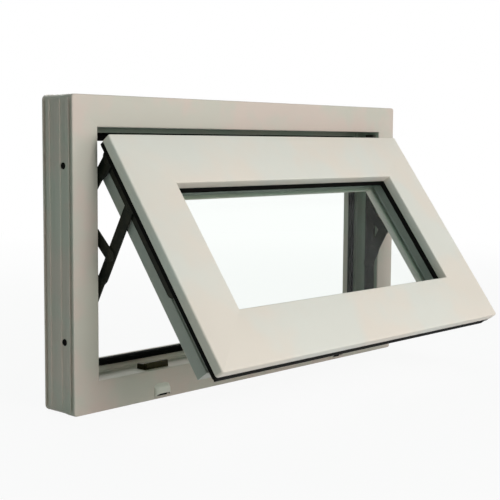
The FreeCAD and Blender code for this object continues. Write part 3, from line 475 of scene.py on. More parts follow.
def finish(slot):
    """The material of a record slot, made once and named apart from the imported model's own."""
    name = slot + "_finish"
    made = bpy.data.materials.get(name)
    if made:
        return made
    hue = bpy.context.scene.window_colours
    if slot == "clear_glass":
        return glass_finish(name, hue.clear_glass)
    rows = {
        # painted highlight: on the plastics the edges lighten towards a paler colour, standing
        # for light caught on their rounded edges
        "frame_plastic": dict(
            colour=hue.frame_plastic, rough=0.45, second=hue.frame_plastic_cool,
            blotch_scale=11.0, dust=0.2, edge_rub_and_highlight_colour=hue.sash_plastic, edge_rub_and_highlight_share=0.25,
            # painted shade: the next tint darkens the frame's inner sides, which lie in shade
            shade_tint=(0.52, 0.68, 0.62)),
        "sash_plastic": dict(
            colour=hue.sash_plastic, rough=0.42, second=hue.sash_plastic_cool,
            blotch_scale=6.0, dust=0.05, edge_rub_and_highlight_colour=(0.84, 0.83, 0.77), edge_rub_and_highlight_share=0.2,
            # painted shade: the next tint darkens the sash's sides behind its flange, which lie
            # in shade
            shade_tint=(0.58, 0.64, 0.65)),
        "seal_rubber": dict(
            colour=hue.seal_rubber, rough=0.7, blotch=0.4, blotch_scale=60.0, bump=0.3,
            edge_rub_and_highlight_colour=(0.010, 0.010, 0.009), edge_rub_and_highlight_share=0.5, specular=0.03),
        "stay_steel": dict(
            colour=hue.stay_steel, rough=0.48, second=(0.020, 0.022, 0.018), blotch=0.5,
            blotch_scale=70.0, speck=0.5, edge_rub_and_highlight_colour=(0.12, 0.115, 0.095), edge_rub_and_highlight_share=0.8,
            stretch=(1.0, 1.0, 0.05), bump=0.3, specular=0.08),
        "keep_bronze": dict(
            colour=hue.keep_bronze, rough=0.5, blotch=0.6, blotch_scale=80.0, bump=0.3,
            edge_rub_and_highlight_colour=(0.09, 0.075, 0.03), edge_rub_and_highlight_share=0.7, specular=0.08),
        "cap_plastic": dict(colour=hue.cap_plastic, rough=0.42, dust=0.2),
        "lock_steel": dict(
            colour=hue.lock_steel, rough=0.34, metal=0.9, blotch=0.3, blotch_scale=60.0,
            edge_rub_and_highlight_colour=(0.55, 0.55, 0.53), edge_rub_and_highlight_share=0.5, stretch=(0.03, 1.0, 1.0), bump=0.2),
        "spacer_aluminium": dict(
            colour=hue.spacer_metal, rough=0.5, metal=0.3, blotch=0.2, blotch_scale=40.0,
            stretch=(0.03, 1.0, 1.0)),
        "handle_paint": dict(
            colour=hue.handle_paint, rough=0.36, speck=0.05, speck_scale=1500.0, bump=0.15,
            edge_rub_and_highlight_colour=(0.72, 0.71, 0.66), edge_rub_and_highlight_share=0.3),
    }
    return solid_finish(name, **rows[slot])


# Surfaces

ROUND_STEPS = 4
SAME_POINT = 1e-3
SHARP_ANGLE = math.radians(35.0)


def unit(rows):
    """Vectors scaled to a length of 1."""
    return rows / np.maximum(np.linalg.norm(rows, axis=-1, keepdims=True), 1e-9)


def eased(share):
    """3 t^2 - 2 t^3, with t held between 0 and 1."""
    share = np.clip(share, 0.0, 1.0)
    return share * share * (3.0 - 2.0 * share)


def round_outline(corners):
    """Points of a closed outline with each corner rounded to its own radius.

    At each corner the arc starts r / tan(half angle) back along both edges, and its centre
    lies r / sin(half angle) along the bisector. Corners are rows of (x, y, radius), in
    millimetres as the points are.
    """
    corners = np.array(corners, float)
    points, radius = corners[:, :2], corners[:, 2:3]
    to_last = unit(np.roll(points, 1, axis=0) - points)
    to_next = unit(np.roll(points, -1, axis=0) - points)
    half = 0.5 * np.arccos(np.clip((to_last * to_next).sum(1, keepdims=True), -1.0, 1.0))
    centre = points + unit(to_last + to_next) * radius / np.sin(half)
    start, end = (points + way * radius / np.tan(half) - centre for way in (to_last, to_next))
    sweep = (math.pi - 2.0 * half)[:, :, None]
    share = np.linspace(0.0, 1.0, ROUND_STEPS + 1)[None, :, None]
    arc = np.sin((1.0 - share) * sweep) * start[:, None] + np.sin(share * sweep) * end[:, None]
    arc = centre[:, None] + arc / np.maximum(np.sin(sweep), 1e-6)
    outline = np.where(radius[:, :, None] > 0.0, arc, points[:, None]).reshape(-1, 2)
    apart = np.linalg.norm(outline - np.roll(outline, 1, axis=0), axis=1)
    outline = outline[apart > SAME_POINT]
    x, y = outline.T
    area = np.sum(x * np.roll(y, -1) - y * np.roll(x, -1))
    return outline if area < 0.0 else outline[::-1]


def grid_quads(rings, count):
    """Quads between neighbouring rings of a closed outline."""
    ring = np.arange(rings - 1)[:, None] * count
    place = np.arange(count)[None, :]
    after = (place + 1) % count
    quads = [ring + place, ring + after, ring + count + after, ring + count + place]
    return np.stack(quads, axis=-1).reshape(-1, 4)


def shell_volume(points, quads, ends):
    """A sixth of the sum of a . (b x c) over the triangles of a closed shell."""
    fans = [np.stack([np.full(len(end) - 2, end[0]), end[1:-1], end[2:]], axis=1)
            for end in ends]
    triangles = np.concatenate([quads[:, [0, 1, 2]], quads[:, [0, 2, 3]]] + fans)
    a, b, c = (points[triangles[:, i]] - points.mean(axis=0) for i in range(3))
    return np.sum(a * np.cross(b, c)) / 6.0


def add_object(name, data):
    """Put an object with this data in the scene."""
    made = bpy.data.objects.new(name, data)
    bpy.context.scene.collection.objects.link(made)
    return made


def add_piece(name, shells, slot, replaced=(), shade_mask=None):
    """Turn closed shells into one piece that rides on the window.

    A shell is a grid of rings (rings, points, 3): quads join neighbouring rings and a face
    closes either end. Where its volume comes out negative, its faces are turned round.
    """
    points, faces, start = [], [], 0
    for shell in shells:
        rings, count, _ = shell.shape
        flat = shell.reshape(-1, 3)
        quads = grid_quads(rings, count)
        ends = [np.arange(count)[::-1], np.arange(count) + (rings - 1) * count]
        if shell_volume(flat, quads, ends) < 0.0:
            quads, ends = quads[:, ::-1], [end[::-1] for end in ends]
        faces += (quads + start).tolist() + [(end + start).tolist() for end in ends]
        points.append(flat)
        start += len(flat)
    mesh = bpy.data.meshes.new(name)
    mesh.from_pydata(np.concatenate(points).tolist(), [], faces)
    # painted shade: a mask on the points marks where the material darkens as if in shade
    if shade_mask is not None:
        kept = mesh.attributes.new("shade_mask", "FLOAT", "POINT")
        kept.data.foreach_set("value", np.tile(shade_mask, start // len(shade_mask)))
    mesh.validate()
    mesh.materials.append(finish(slot))
    mesh.shade_smooth()
    mesh.set_sharp_from_angle(angle=SHARP_ANGLE)
    piece = add_object(name, mesh)
    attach(piece, BODY)
    if replaced:
        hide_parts(*replaced)


# shares of the way to a mitre at which a profile has its rings
END_STEPS = np.concatenate([np.linspace(0.0, 0.6, 4), np.linspace(0.7, 0.95, 5), [0.98, 1.0]])
# distances from a side's end: up to the first the cleaned weld closes a groove, and from the
# second on the groove is whole
WELD_CLOSED, WELD_CLEANED = 3.0 * MM, 11.0 * MM


def mitred_rings(outline, length, corner, weld, run, fades):
    """Rings (x, inwards, depth) of a profile carried along a side and cut at 45 degrees.

    Towards the end the profile moves inwards by b(x) = R - sqrt(R^2 - (x - x0)^2), with
    x0 = half length - R, which rounds the welded outer corner. The cut follows
    x = half length - inwards, so a point that starts w from the edge ends at
    x0 + (sqrt(2 R^2 - w^2) - w) / 2. Points marked in fades lose their inward distance by the
    eased share of the way to the cut, which closes the grooves of the outer side where the
    weld is cleaned. The last ring is drawn in by the depth of the groove along the weld.
    """
    half = length / 2.0
    inward, depth = outline.T
    at_end = np.where(fades, 0.0, inward)
    start = half - corner
    reach = (np.sqrt(np.maximum(2.0 * corner ** 2 - at_end ** 2, 0.0)) - at_end) / 2.0
    ending = np.where(at_end < corner, start + reach, half - at_end)
    begin = np.minimum(ending, start) - run
    along = begin[None] + (ending - begin)[None] * END_STEPS[:, None]
    bend = np.clip(along - start, 0.0, None)
    open_share = eased((half - along - WELD_CLOSED) / (WELD_CLEANED - WELD_CLOSED))
    kept = np.where(fades[None], open_share, 1.0)
    shifted = inward[None] * kept + corner - np.sqrt(np.maximum(corner ** 2 - bend ** 2, 0.0))
    depths = np.repeat(depth[None], len(along), axis=0)
    turn = unit(np.roll(outline, -1, axis=0) - np.roll(outline, 1, axis=0))
    shifted[-1] += turn[:, 1] * weld
    depths[-1] -= turn[:, 0] * weld
    along[-1] = half - shifted[-1]
    right = np.stack([along, shifted, depths], axis=-1)
    left = right[::-1] * np.array([-1.0, 1.0, 1.0])
    return np.concatenate([left, right], axis=0)


def rounded_rings(half, low, high, soft, soft_foot):
    """Rectangles from low to high, 2 half wide, each corner a quarter circle.

    The four corners lie at +-(half - r) across and at low + r or high - r; r is soft above
    and soft_foot below, and never more than half the width or half the height. Half, low and
    high are arrays, one value a ring.
    """
    turn = np.tile(np.linspace(0.0, math.pi / 2.0, 4), 4)
    corner = np.repeat(np.arange(4), 4)
    angle = (corner * math.pi / 2.0 + turn)[None]
    side = np.where((corner == 0) | (corner == 3), 1.0, -1.0)[None]
    above = (corner < 2)[None]
    room = np.minimum(half, (high - low) / 2.0)[:, None]
    radius = np.minimum(np.where(above, soft, soft_foot), room)
    across = side * (half[:, None] - radius) + radius * np.cos(angle)
    middle = np.where(above, high[:, None] - radius, low[:, None] + radius)
    return np.stack([across, middle + radius * np.sin(angle)], axis=-1)


def with_along(along, rings, middle=0.0):
    """Rings of (across, height) set at their places along: rows of (along, across, height)."""
    place = np.broadcast_to(along[:, None, None], rings.shape[:2] + (1,))
    return np.concatenate([place, rings + np.array([middle, 0.0])], axis=-1)


def bar_shell(span, width, thick, foot, climb=0.0, joggle=(1.0, 2.0), soft=0.6, soft_foot=0.6):
    """A flat bar with round ends, cranked from one layer to the next.

    Past either pivot the half width is sqrt(r^2 - d^2), d being the distance past it. The
    underside lies at foot + climb (3 t^2 - 2 t^3), with t from 0 to 1 along the joggle.
    """
    reach = width / 2.0
    turn = np.linspace(0.04, math.pi / 2.0, 9)
    between = np.unique(np.concatenate([np.linspace(0.0, span, 10), np.linspace(*joggle, 9)]))
    between = between[(between > 0.0) & (between < span)]
    along = np.concatenate([-reach * np.cos(turn), between, span + reach * np.cos(turn[::-1])])
    round_end = reach * np.sin(turn)
    half = np.concatenate([round_end, np.full(len(between), reach), round_end[::-1]])
    low = foot + climb * eased((along - joggle[0]) / (joggle[1] - joggle[0]))
    return with_along(along, rounded_rings(half, low, low + thick, soft, soft_foot))


def block_shell(start, end, half, low, high, soft, middle=0.0):
    """A rounded block: towards both ends the section shrinks by soft (1 - sin t)."""
    turn = np.linspace(0.0, math.pi / 2.0, 4)
    shrink = soft * (1.0 - np.sin(turn))
    push = soft * (1.0 - np.cos(turn))
    along = np.concatenate([start + push, end - push[::-1]])
    shrink = np.concatenate([shrink, shrink[::-1]])
    rings = rounded_rings(half - shrink, low + shrink, high - shrink, soft, soft)
    return with_along(along, rings, middle)


def run_shell(corners, start, end):
    """A rounded (across, height) profile carried straight from start to end."""
    outline = round_outline(corners)
    return with_along(np.array([start, end]), np.repeat(outline[None], 2, axis=0))


def turned_shell(profile, along=0.0, across=0.0, count=28):
    """Rows of (radius, height) swept round an upright line."""
    turn = np.linspace(0.0, 2.0 * math.pi, count, endpoint=False)[None]
    radius, height = np.array(profile, float).T[:, :, None]
    return np.stack([along + radius * np.cos(turn), across + radius * np.sin(turn),
                     height + 0.0 * turn], axis=-1)


RIVET_SHANK, RIVET_EDGE, RIVET_WIDE, RIVET_RISE = 3.0, 5.2, 5.5, 0.5


def rivet_shell(along, foot, head):
    """A rivet's shank with a low wide head on top."""
    return turned_shell([(RIVET_SHANK, foot), (RIVET_SHANK, head), (RIVET_EDGE, head),
                         (RIVET_WIDE, head + RIVET_RISE / 2.0),
                         (RIVET_EDGE, head + RIVET_RISE)], along)


def dome_shell(along, base, way, radius=5.4, rise=1.2):
    """A rivet's head: radius cos t wide at base + way rise sin t, its rim sunk by 0.3."""
    turn = np.linspace(0.0, 1.5, 7)
    rows = np.stack([radius * np.cos(turn), base + way * rise * np.sin(turn)], axis=-1)
    return turned_shell(np.concatenate([[[radius, base - way * 0.3]], rows]), along)


def screw_shell(along, across, base, way, radius=3.6, rise=1.2):
    """A screw's head with a cross in it.

    It is rise sqrt(1 - 0.8 (r / R)^2) high, less 0.7 rise inside two crossed bars. A bar
    reaches 0.13 R from its middle line and 0.52 R from the centre, and its slopes end 0.07 R
    and 0.10 R further out.
    """
    turn = np.linspace(0.0, 2.0 * math.pi, 40, endpoint=False)[None]
    share = np.concatenate([[1.0, 1.0], np.linspace(0.96, 0.04, 12)])[:, None]
    x, y = share * radius * np.cos(turn), share * radius * np.sin(turn)

    def bar(a, b):
        """1 inside the bar along b, fading out over its slopes."""
        beside = np.clip((0.20 - np.abs(a) / radius) / 0.07, 0.0, 1.0)
        return beside * np.clip((0.62 - np.abs(b) / radius) / 0.10, 0.0, 1.0)

    high = rise * np.sqrt(1.0 - 0.8 * share ** 2) - 0.7 * rise * np.maximum(bar(x, y), bar(y, x))
    high[0] = 0.0
    return np.stack([along + x, across + y, base + way * high], axis=-1)


# Poses of the frame's and of the sash's sides

# each side's way along and way inwards, as (x, z)
SIDES = {
    "bottom": ((1, 0), (0, 1)), "top": ((-1, 0), (0, -1)),
    "left": ((0, -1), (1, 0)), "right": ((0, 1), (-1, 0)),
}


def place_on_side(rings, side, width, height):
    """Turn (x, inwards, depth) rings into (x, depth, z) rings of one side of a rectangle."""
    along, inwards = (np.array(v, float) for v in SIDES[side])
    middle = np.array([0.0, height / 2.0]) - inwards * np.array([width, height]) / 2.0
    flat = middle + rings[..., 0:1] * along + rings[..., 1:2] * inwards
    return np.stack([flat[..., 0], rings[..., 2], flat[..., 1]], axis=-1)


def sash_pose():
    """Origin, depth axis and up axis of the swung sash, read from the outer pane's corners."""
    mesh = frame["nodes"]["glass_pane_outer"].data
    corners = np.zeros(len(mesh.vertices) * 3)
    mesh.vertices.foreach_get("co", corners)
    corners = corners.reshape(-1, 3) * (INDOORS + UPWARDS)
    foot, head = corners[corners[:, 1].argmin()], corners[corners[:, 2].argmax()]
    up = unit(head - foot)
    depth = np.cross(up, ACROSS)
    return foot - depth * sizes().glass_setback - up * sizes().glass_edge, depth, up


def in_sash(points):
    """Carry (x, depth, z) points of the shut sash, foot at z = 0, into its open pose."""
    origin, depth, up = sash_pose()
    return origin + points @ np.array([ACROSS, depth, up])


def in_frame(points):
    """Carry (x, depth, z) points of the frame into the window."""
    return points - INDOORS * sizes().frame_depth / 2.0


def posed(shells, base, along, out):
    """Carry shells of (along, across, height) points, in millimetres, to a base in metres."""
    axes = np.array([along, np.cross(out, along), out]) * MM
    return [base + shell @ axes for shell in shells]


def on_jamb(shells, side, start, end):
    """Lay stay shells on a jamb's inner face, from one (y, z) in millimetres to another."""
    way = 1.0 if side == "left" else -1.0
    y, z = (np.array(end) - start) / math.dist(start, end)
    jamb = -way * (sizes().frame_width / 2.0 - sizes().frame_face)
    base = np.array([jamb, start[0] * MM, start[1] * MM])
    return posed(shells, base, np.array([0.0, y, z]), way * ACROSS)


def on_sash(shells, place, out):
    """Lay shells that run across the window on the sash, at (x, depth, z) in millimetres."""
    base = in_sash(np.array(place) * MM)
    return posed(shells, base, ACROSS, in_sash(out) - in_sash(0.0 * out))


def side_names(pattern, words=tuple(SIDES)):
    """Names of the four sides, in the order bottom, top, left, right."""
    return {side: pattern % word for side, word in zip(SIDES, words)}


def rail_set(names, nodes, corners, slot, sides, rounding=(0.0, 0.0), weld=0.0,
             run=0.4 * MM, grooves=(0, 0, 0), shade_area=None, shade_sides=tuple(SIDES)):
    """Four mitred rails of one profile, each standing for its CAD node.

    Sides are the width, the height and the function that carries them into place. Rounding is
    that of the corners in front and behind REAR_ROUND_FROM, weld is the depth of the groove
    along each weld, and the rings of a mitre begin a run before it. Grooves are the first
    depth, last depth and deepest point of what a cleaned weld closes. The last two arguments are
    the least and the greatest (inwards, depth) of the points with painted shade, and the sides
    that get it.
    """
    width, height, carry = sides
    outline = round_outline(corners) * MM
    inward, depth = outline.T
    first, last, deepest = (v * MM for v in grooves)
    fades = (depth > first) & (depth < last) & (inward < deepest)
    corner = np.where(depth > REAR_ROUND_FROM, rounding[1], rounding[0])
    shade_mask = None
    # painted shade: points inside this box of (inwards, depth) get the shade tint
    if shade_area:
        low, high = (np.array(v) * MM for v in shade_area)
        shade_mask = ((outline > low) & (outline < high)).all(axis=1).astype(np.float32)
    for side in SIDES:
        length = height if side in ("left", "right") else width
        rings = mitred_rings(outline, length, corner, weld, run, fades)
        points = carry(place_on_side(rings, side, width, height))
        add_piece(names[side], [points], slot, (nodes[side],),
                  shade_mask if side in shade_sides else None)


# Frame and sash

def outer_groove(start, end, deep):
    """The corners of a groove in the frame's outer side, from one depth to another."""
    return [(0, start, 0.4), (deep, start, 0.3), (deep, end, 0.3), (0, end, 0.4)]


FRAME_PROFILE = [
    (0, 0, 1.6), (40, 0, 1.6), (40, 31, 0.4), (38.8, 32.2, 0.4), (38.8, 43.8, 0.4),
    (40, 45, 0.4), (40, 49, 0.6), (49.6, 49, 0), (49.6, 51.6, 0), (52.2, 51.6, 0),
    (52.2, 49, 0), (56, 49, 0.6), (56, 60, 1.4), (0, 60, 1.4), *outer_groove(57, 52, 2.5),
    *outer_groove(46, 35, 1.2), *outer_groove(25, 14, 1.2), *outer_groove(8, 3, 2.5),
]
SASH_PROFILE = [
    (0, 0, 2.2), (74.5, 0, 1.8), (74.5, 14, 0.5), (58.5, 14, 0), (58.5, 60, 0.5),
    (18, 60, 1.6), (18, 41, 0.4), (21, 41, 0.3), (21, 38.5, 0.4), (27, 38.5, 0.4),
    (27, 27.5, 0.4), (21, 27.5, 0.4), (21, 25, 0.3), (18, 25, 0.4), (18, 13.9, 0.6),
    (5.4, 13.9, 0), (5.4, 11.3, 0), (2.8, 11.3, 0), (2.8, 13.9, 0), (0, 13.9, 0.8),
]
FRAME_SEAL_PROFILE = [
    (46.4, 49, 0), (47.6, 44.4, 1.6), (49.7, 42, 1.6), (53.6, 42, 1.6), (56.4, 44.4, 1.6),
    (57.2, 49, 0), (52.1, 49, 0), (52.1, 51.5, 0), (49.7, 51.5, 0), (49.7, 49, 0),
]
LAP_SEAL_PROFILE = [
    (0.6, 13.9, 0), (2.9, 13.9, 0), (2.9, 11.4, 0), (5.3, 11.4, 0), (5.3, 13.9, 0),
    (7.6, 13.9, 0), (7.6, 20.1, 1.0), (5.8, 21.9, 1.2), (2.4, 21.9, 1.2), (0.6, 20.1, 1.0),
]
GLAZING_SEAL_PROFILE = [
    (68.5, 14, 0), (74.5, 14, 0), (77.7, 18, 0.8), (77.7, 20, 0), (68.5, 20, 0),
]
BEAD_PROFILE = [
    (58.5, 44.3, 0), (72.5, 44.3, 0.6), (72.5, 46.97, 1.2), (63.87, 60, 1.4), (58.5, 60, 0.4),
]
# the drip lip's rows are (distance below the sash's foot, depth behind its face, rounding)
FOOT_LIP_PROFILE = [(-6.4, 20.4, 0), (-0.5, 20.4, 0), (-0.5, 27.4, 0.8), (-3.4, 27.4, 0.8)]
FOOT_LIP_INSET = 9.0
REAR_ROUND_FROM = 14.6 * MM
FRAME_GROOVES = (2.6, 57.3, 3.0)
BEAD_WELD = 0.1 * MM
# painted shade: the frame's inner sides, and the sash's behind its flange, are darkened where
# shade falls
FRAME_SHADE_AREA = ((37.0, 1.5), (57.0, 49.2))
SASH_SHADE_AREA = ((8.0, 13.8), (30.0, 59.0))


def frame_sides():
    """Width and height of the frame, and what carries its points into the window."""
    return sizes().frame_width, sizes().frame_height, in_frame


def sash_sides():
    """Width and height of the sash, and what carries its points into the open pose."""
    return sizes().sash_width, sizes().sash_height, in_sash


class WINDOW_OT_frame_rails(bpy.types.Operator):
    """Dress the fixed frame: four welded rails with grooved outer sides"""
    bl_idname = "window.frame_rails"
    bl_label = "Frame Rails"

    def execute(self, context):
        s = sizes()
        rail_set(side_names("%s", ("sill_rail", "head_rail", "left_jamb", "right_jamb")),
                 side_names("frame_%s", ("sill", "head", "jamb_left", "jamb_right")),
                 FRAME_PROFILE, "frame_plastic", frame_sides(),
                 rounding=(s.frame_round, s.frame_rear_round), weld=s.weld_groove,
                 run=WELD_CLEANED, grooves=FRAME_GROOVES, shade_area=FRAME_SHADE_AREA,
                 shade_sides=("top", "left", "right"))
        return {"FINISHED"}


class WINDOW_OT_frame_seals(bpy.types.Operator):
    """Dress the four bulb seals on the frame's upstand"""
    bl_idname = "window.frame_seals"
    bl_label = "Frame Seals"

    def execute(self, context):
        rail_set(side_names("upstand_seal_%s"),
                 side_names("frame_seal_%s", ("sill", "head", "left", "right")),
                 FRAME_SEAL_PROFILE, "seal_rubber", frame_sides())
        return {"FINISHED"}


class WINDOW_OT_sash_rails(bpy.types.Operator):
    """Dress the sash: four welded rails with a lapping flange and a hardware groove"""
    bl_idname = "window.sash_rails"
    bl_label = "Sash Rails"

    def execute(self, context):
        s = sizes()
        rail_set(side_names("sash_%s", ("foot_rail", "head_rail", "left_stile", "right_stile")),
                 side_names("sash_%s", ("rail_bottom", "rail_top", "stile_left", "stile_right")),
                 SASH_PROFILE, "sash_plastic", sash_sides(),
                 rounding=(s.sash_round, s.sash_round), weld=s.weld_groove,
                 shade_area=SASH_SHADE_AREA)
        return {"FINISHED"}


class WINDOW_OT_sash_seals(bpy.types.Operator):
    """Dress the lap seals behind the flange, the foot's black drip lip, which also stands for
    painted shade under the foot, and the glazing seals
    """
    bl_idname = "window.sash_seals"
    bl_label = "Sash Seals"

    def execute(self, context):
        s = sizes()
        rail_set(side_names("flange_seal_%s"), side_names("lap_seal_%s"), LAP_SEAL_PROFILE,
                 "seal_rubber", sash_sides(), rounding=(s.sash_round, s.sash_round))
        rail_set(side_names("pane_seal_%s"), side_names("glazing_seal_%s"),
                 GLAZING_SEAL_PROFILE, "seal_rubber", sash_sides())
        # partly painted shade: the black rubber drip lip under the sash's foot also stands for
        # the dark shadow line there
        reach = s.sash_width / MM / 2.0 - FOOT_LIP_INSET
        lip = run_shell(FOOT_LIP_PROFILE, -reach, reach)
        add_piece("foot_lip_and_painted_shade", on_sash([lip], (0.0, 0.0, 0.0), INDOORS), "seal_rubber")
        return {"FINISHED"}


class WINDOW_OT_glazing_beads(bpy.types.Operator):
    """Dress the bevelled glazing beads indoors"""
    bl_idname = "window.glazing_beads"
    bl_label = "Glazing Beads"

    def execute(self, context):
        rail_set(side_names("pane_bead_%s"), side_names("glazing_bead_%s"), BEAD_PROFILE,
                 "sash_plastic", sash_sides(), weld=BEAD_WELD)
        return {"FINISHED"}


# Friction stays. Pivots are (y, z) of the window with the sash open, heights are measured from
# the jamb's inner face towards the sash, all in millimetres.

PIVOTS = {
    "top": (-14.500, 287.643), "upper": (-39.570, 318.555), "end": (-80.343, 262.642),
    "middle": (-45.803, 200.038), "link": (-14.500, 230.243), "lower": (-14.500, 143.300),
}
ARM_THICK, LOWER_LAYER, MIDDLE_LAYER, BAR_LAYER = 2.4, 3.733, 6.667, 9.6
RIVET_SEAT, RIVET_TOP = 1.0, 11.1
SHORT_ARM_WIDE, SHORT_ARM_JOGGLE = 19.0, (0.42, 0.58)
LINK_WIDE, LINK_RIVET, LINK_RIVET_RISE = 15.0, 5.0, 1.0
LONG_ARM_WIDE, LONG_ARM_JOGGLE = 17.0, (25.5, 32.3)
TRACK_LOW, TRACK_HIGH = 92.0, 356.0
# rows of (across, height, rounding)
TRACK_PROFILE = [
    (-9.0, 0.0, 0.3), (9.0, 0.0, 0.3), (9.0, 3.2, 0.8), (5.0, 3.2, 0.2), (5.0, 2.4, 0.2),
    (8.2, 2.4, 0.2), (8.2, 0.8, 0.2), (-8.2, 0.8, 0.2), (-8.2, 2.4, 0.2), (-5.0, 2.4, 0.2),
    (-5.0, 3.2, 0.2), (-9.0, 3.2, 0.8),
]
TRACK_SCREWS, TRACK_SCREW_SEAT, TRACK_SCREW_RADIUS = (82.0, 237.0, 14.0), 0.7, 3.4
# blocks as rows of half width, low, high and rounding
PIVOT_BLOCK, END_STOP, BLOCK_REACH = (5.0, 0.4, 3.2, 0.4), (8.2, 0.4, 5.1, 0.9), 9.0
SLIDER_BLOCKS, SLIDER_OVERHANG = ((8.0, 0.9, 2.3, 0.3), (4.8, 0.9, 3.46, 0.5)), 10.8
HARDWARE_LINE = 33.0
SASH_BAR_START, SASH_BAR_LONG, SASH_BAR_WIDE = 3.0, 213.0, 18.0
SASH_BAR_SCREWS, SASH_BAR_SCREW_RISE = (52.0, 112.0, 140.0, 198.0), 0.9


def stay_rows():
    """Each piece of one stay: its name, its shells and the two points that it lies between."""
    lower, middle, on_lower = LOWER_LAYER, MIDDLE_LAYER, LOWER_LAYER + ARM_THICK
    line, pivot = PIVOTS["lower"][0], PIVOTS["lower"][1] - TRACK_LOW
    length = TRACK_HIGH - TRACK_LOW
    track = [run_shell(TRACK_PROFILE, 0.0, length),
             block_shell(pivot - BLOCK_REACH, pivot + BLOCK_REACH, *PIVOT_BLOCK),
             block_shell(length - BLOCK_REACH, length, *END_STOP)]
    track += [screw_shell(place, 0.0, TRACK_SCREW_SEAT, 1.0, TRACK_SCREW_RADIUS)
              for place in TRACK_SCREWS]
    low, high = PIVOTS["link"][1] - SLIDER_OVERHANG, PIVOTS["top"][1] + SLIDER_OVERHANG
    slider = [block_shell(0.0, high - low, *block) for block in SLIDER_BLOCKS]
    span = math.dist(PIVOTS["top"], PIVOTS["upper"])
    short = [bar_shell(span, SHORT_ARM_WIDE, ARM_THICK, lower, middle - lower,
                       [share * span for share in SHORT_ARM_JOGGLE]),
             rivet_shell(0.0, RIVET_SEAT, on_lower), rivet_shell(span, middle, RIVET_TOP),
             dome_shell(span, middle, -1.0)]
    span = math.dist(PIVOTS["link"], PIVOTS["middle"])
    link = [bar_shell(span, LINK_WIDE, ARM_THICK, lower),
            rivet_shell(0.0, RIVET_SEAT, on_lower),
            dome_shell(span, lower, -1.0, LINK_RIVET, LINK_RIVET_RISE)]
    span = math.dist(PIVOTS["lower"], PIVOTS["end"])
    elbow = math.dist(PIVOTS["lower"], PIVOTS["middle"])
    long_arm = [bar_shell(span, LONG_ARM_WIDE, ARM_THICK, lower, middle - lower,
                          LONG_ARM_JOGGLE),
                rivet_shell(0.0, RIVET_SEAT, on_lower),
                rivet_shell(elbow, lower, middle + ARM_THICK),
                rivet_shell(span, middle, RIVET_TOP), dome_shell(span, middle, -1.0)]
    bar = bar_shell(SASH_BAR_LONG - SASH_BAR_WIDE, SASH_BAR_WIDE, ARM_THICK, BAR_LAYER)
    bar = [bar + np.array([SASH_BAR_WIDE / 2.0, 0.0, 0.0])]
    bar += [screw_shell(place, 0.0, BAR_LAYER, -1.0, rise=SASH_BAR_SCREW_RISE)
            for place in SASH_BAR_SCREWS]
    bar_top, bar_foot = (in_sash(np.array([0.0, HARDWARE_LINE * MM, z]))[1:] / MM
                         for z in (sizes().sash_height - SASH_BAR_START * MM, 0.0))
    return [
        ("track", track, (line, TRACK_LOW), (line, TRACK_HIGH)),
        ("slider", slider, (line, low), (line, high)),
        ("short_arm", short, PIVOTS["top"], PIVOTS["upper"]),
        ("link", link, PIVOTS["link"], PIVOTS["middle"]),
        ("long_arm", long_arm, PIVOTS["lower"], PIVOTS["end"]),
        ("sash_bar", bar, bar_top, bar_foot),
    ]


class WINDOW_OT_friction_stays(bpy.types.Operator):
    """Dress both friction stays: track, slider, three arms with rivets and the sash bar"""
    bl_idname = "window.friction_stays"
    bl_label = "Friction Stays"

    def execute(self, context):
        rows = stay_rows()
        for side in ("left", "right"):
            for part, shells, start, end in rows:
                add_piece("%s_stay_%s" % (side, part), on_jamb(shells, side, start, end),
                          "stay_steel", ("stay_%s_%s" % (part, side),))
        return {"FINISHED"}


# Sill fittings, in millimetres

KEEP_PLACE, KEEP_LONG, KEEP_WIDE, KEEP_WALL = (-211.5, 169.5), 42.0, 17.0, 4.0
KEEP_FRONT, SILL_TOP = -22.2, 40.0
KEEP_PLATE_HIGH, KEEP_FRONT_HIGH, KEEP_END_HIGH = 2.0, 9.0, 7.5
KEEP_SOFT, KEEP_PLATE_SOFT = 1.1, 0.5
KEEP_SCREWS, KEEP_SCREW_LINE, KEEP_SCREW_SEAT = (12.6, 33.6), 11.5, 1.9
CAP_MIDDLE, CAP_LONG, CAP_LOW, CAP_HIGH, CAP_REACH, CAP_WALL = 189.2, 27.0, 4.0, 21.0, 6.0, 1.4
# the last two numbers here and the next row size the thin black sheet of painted shade in each
# drain cap
CAP_LIP, SHADE_SHEET_LONG, SHADE_SHEET_HIGH = 4.2, 20.0, 4.6
SHADE_SHEET_THICK, SHADE_SHEET_FOOT, SHADE_SHEET_SOFT, SHADE_SHEET_SOFT_FOOT = 0.7, -0.3, 0.2, 0.1


def keep_shells():
    """Plate, front wall, end wall and two screws of a keep, seen from its front left corner."""
    middle, wall = KEEP_WIDE / 2.0, KEEP_WALL / 2.0
    shells = [block_shell(0.0, KEEP_LONG, middle, 0.0, KEEP_PLATE_HIGH, KEEP_PLATE_SOFT, middle),
              block_shell(0.0, KEEP_LONG, wall, 0.0, KEEP_FRONT_HIGH, KEEP_SOFT, wall),
              block_shell(0.0, KEEP_WALL, middle, 0.0, KEEP_END_HIGH, KEEP_SOFT, middle)]
    return shells + [screw_shell(place, KEEP_SCREW_LINE, KEEP_SCREW_SEAT, 1.0)
                     for place in KEEP_SCREWS]


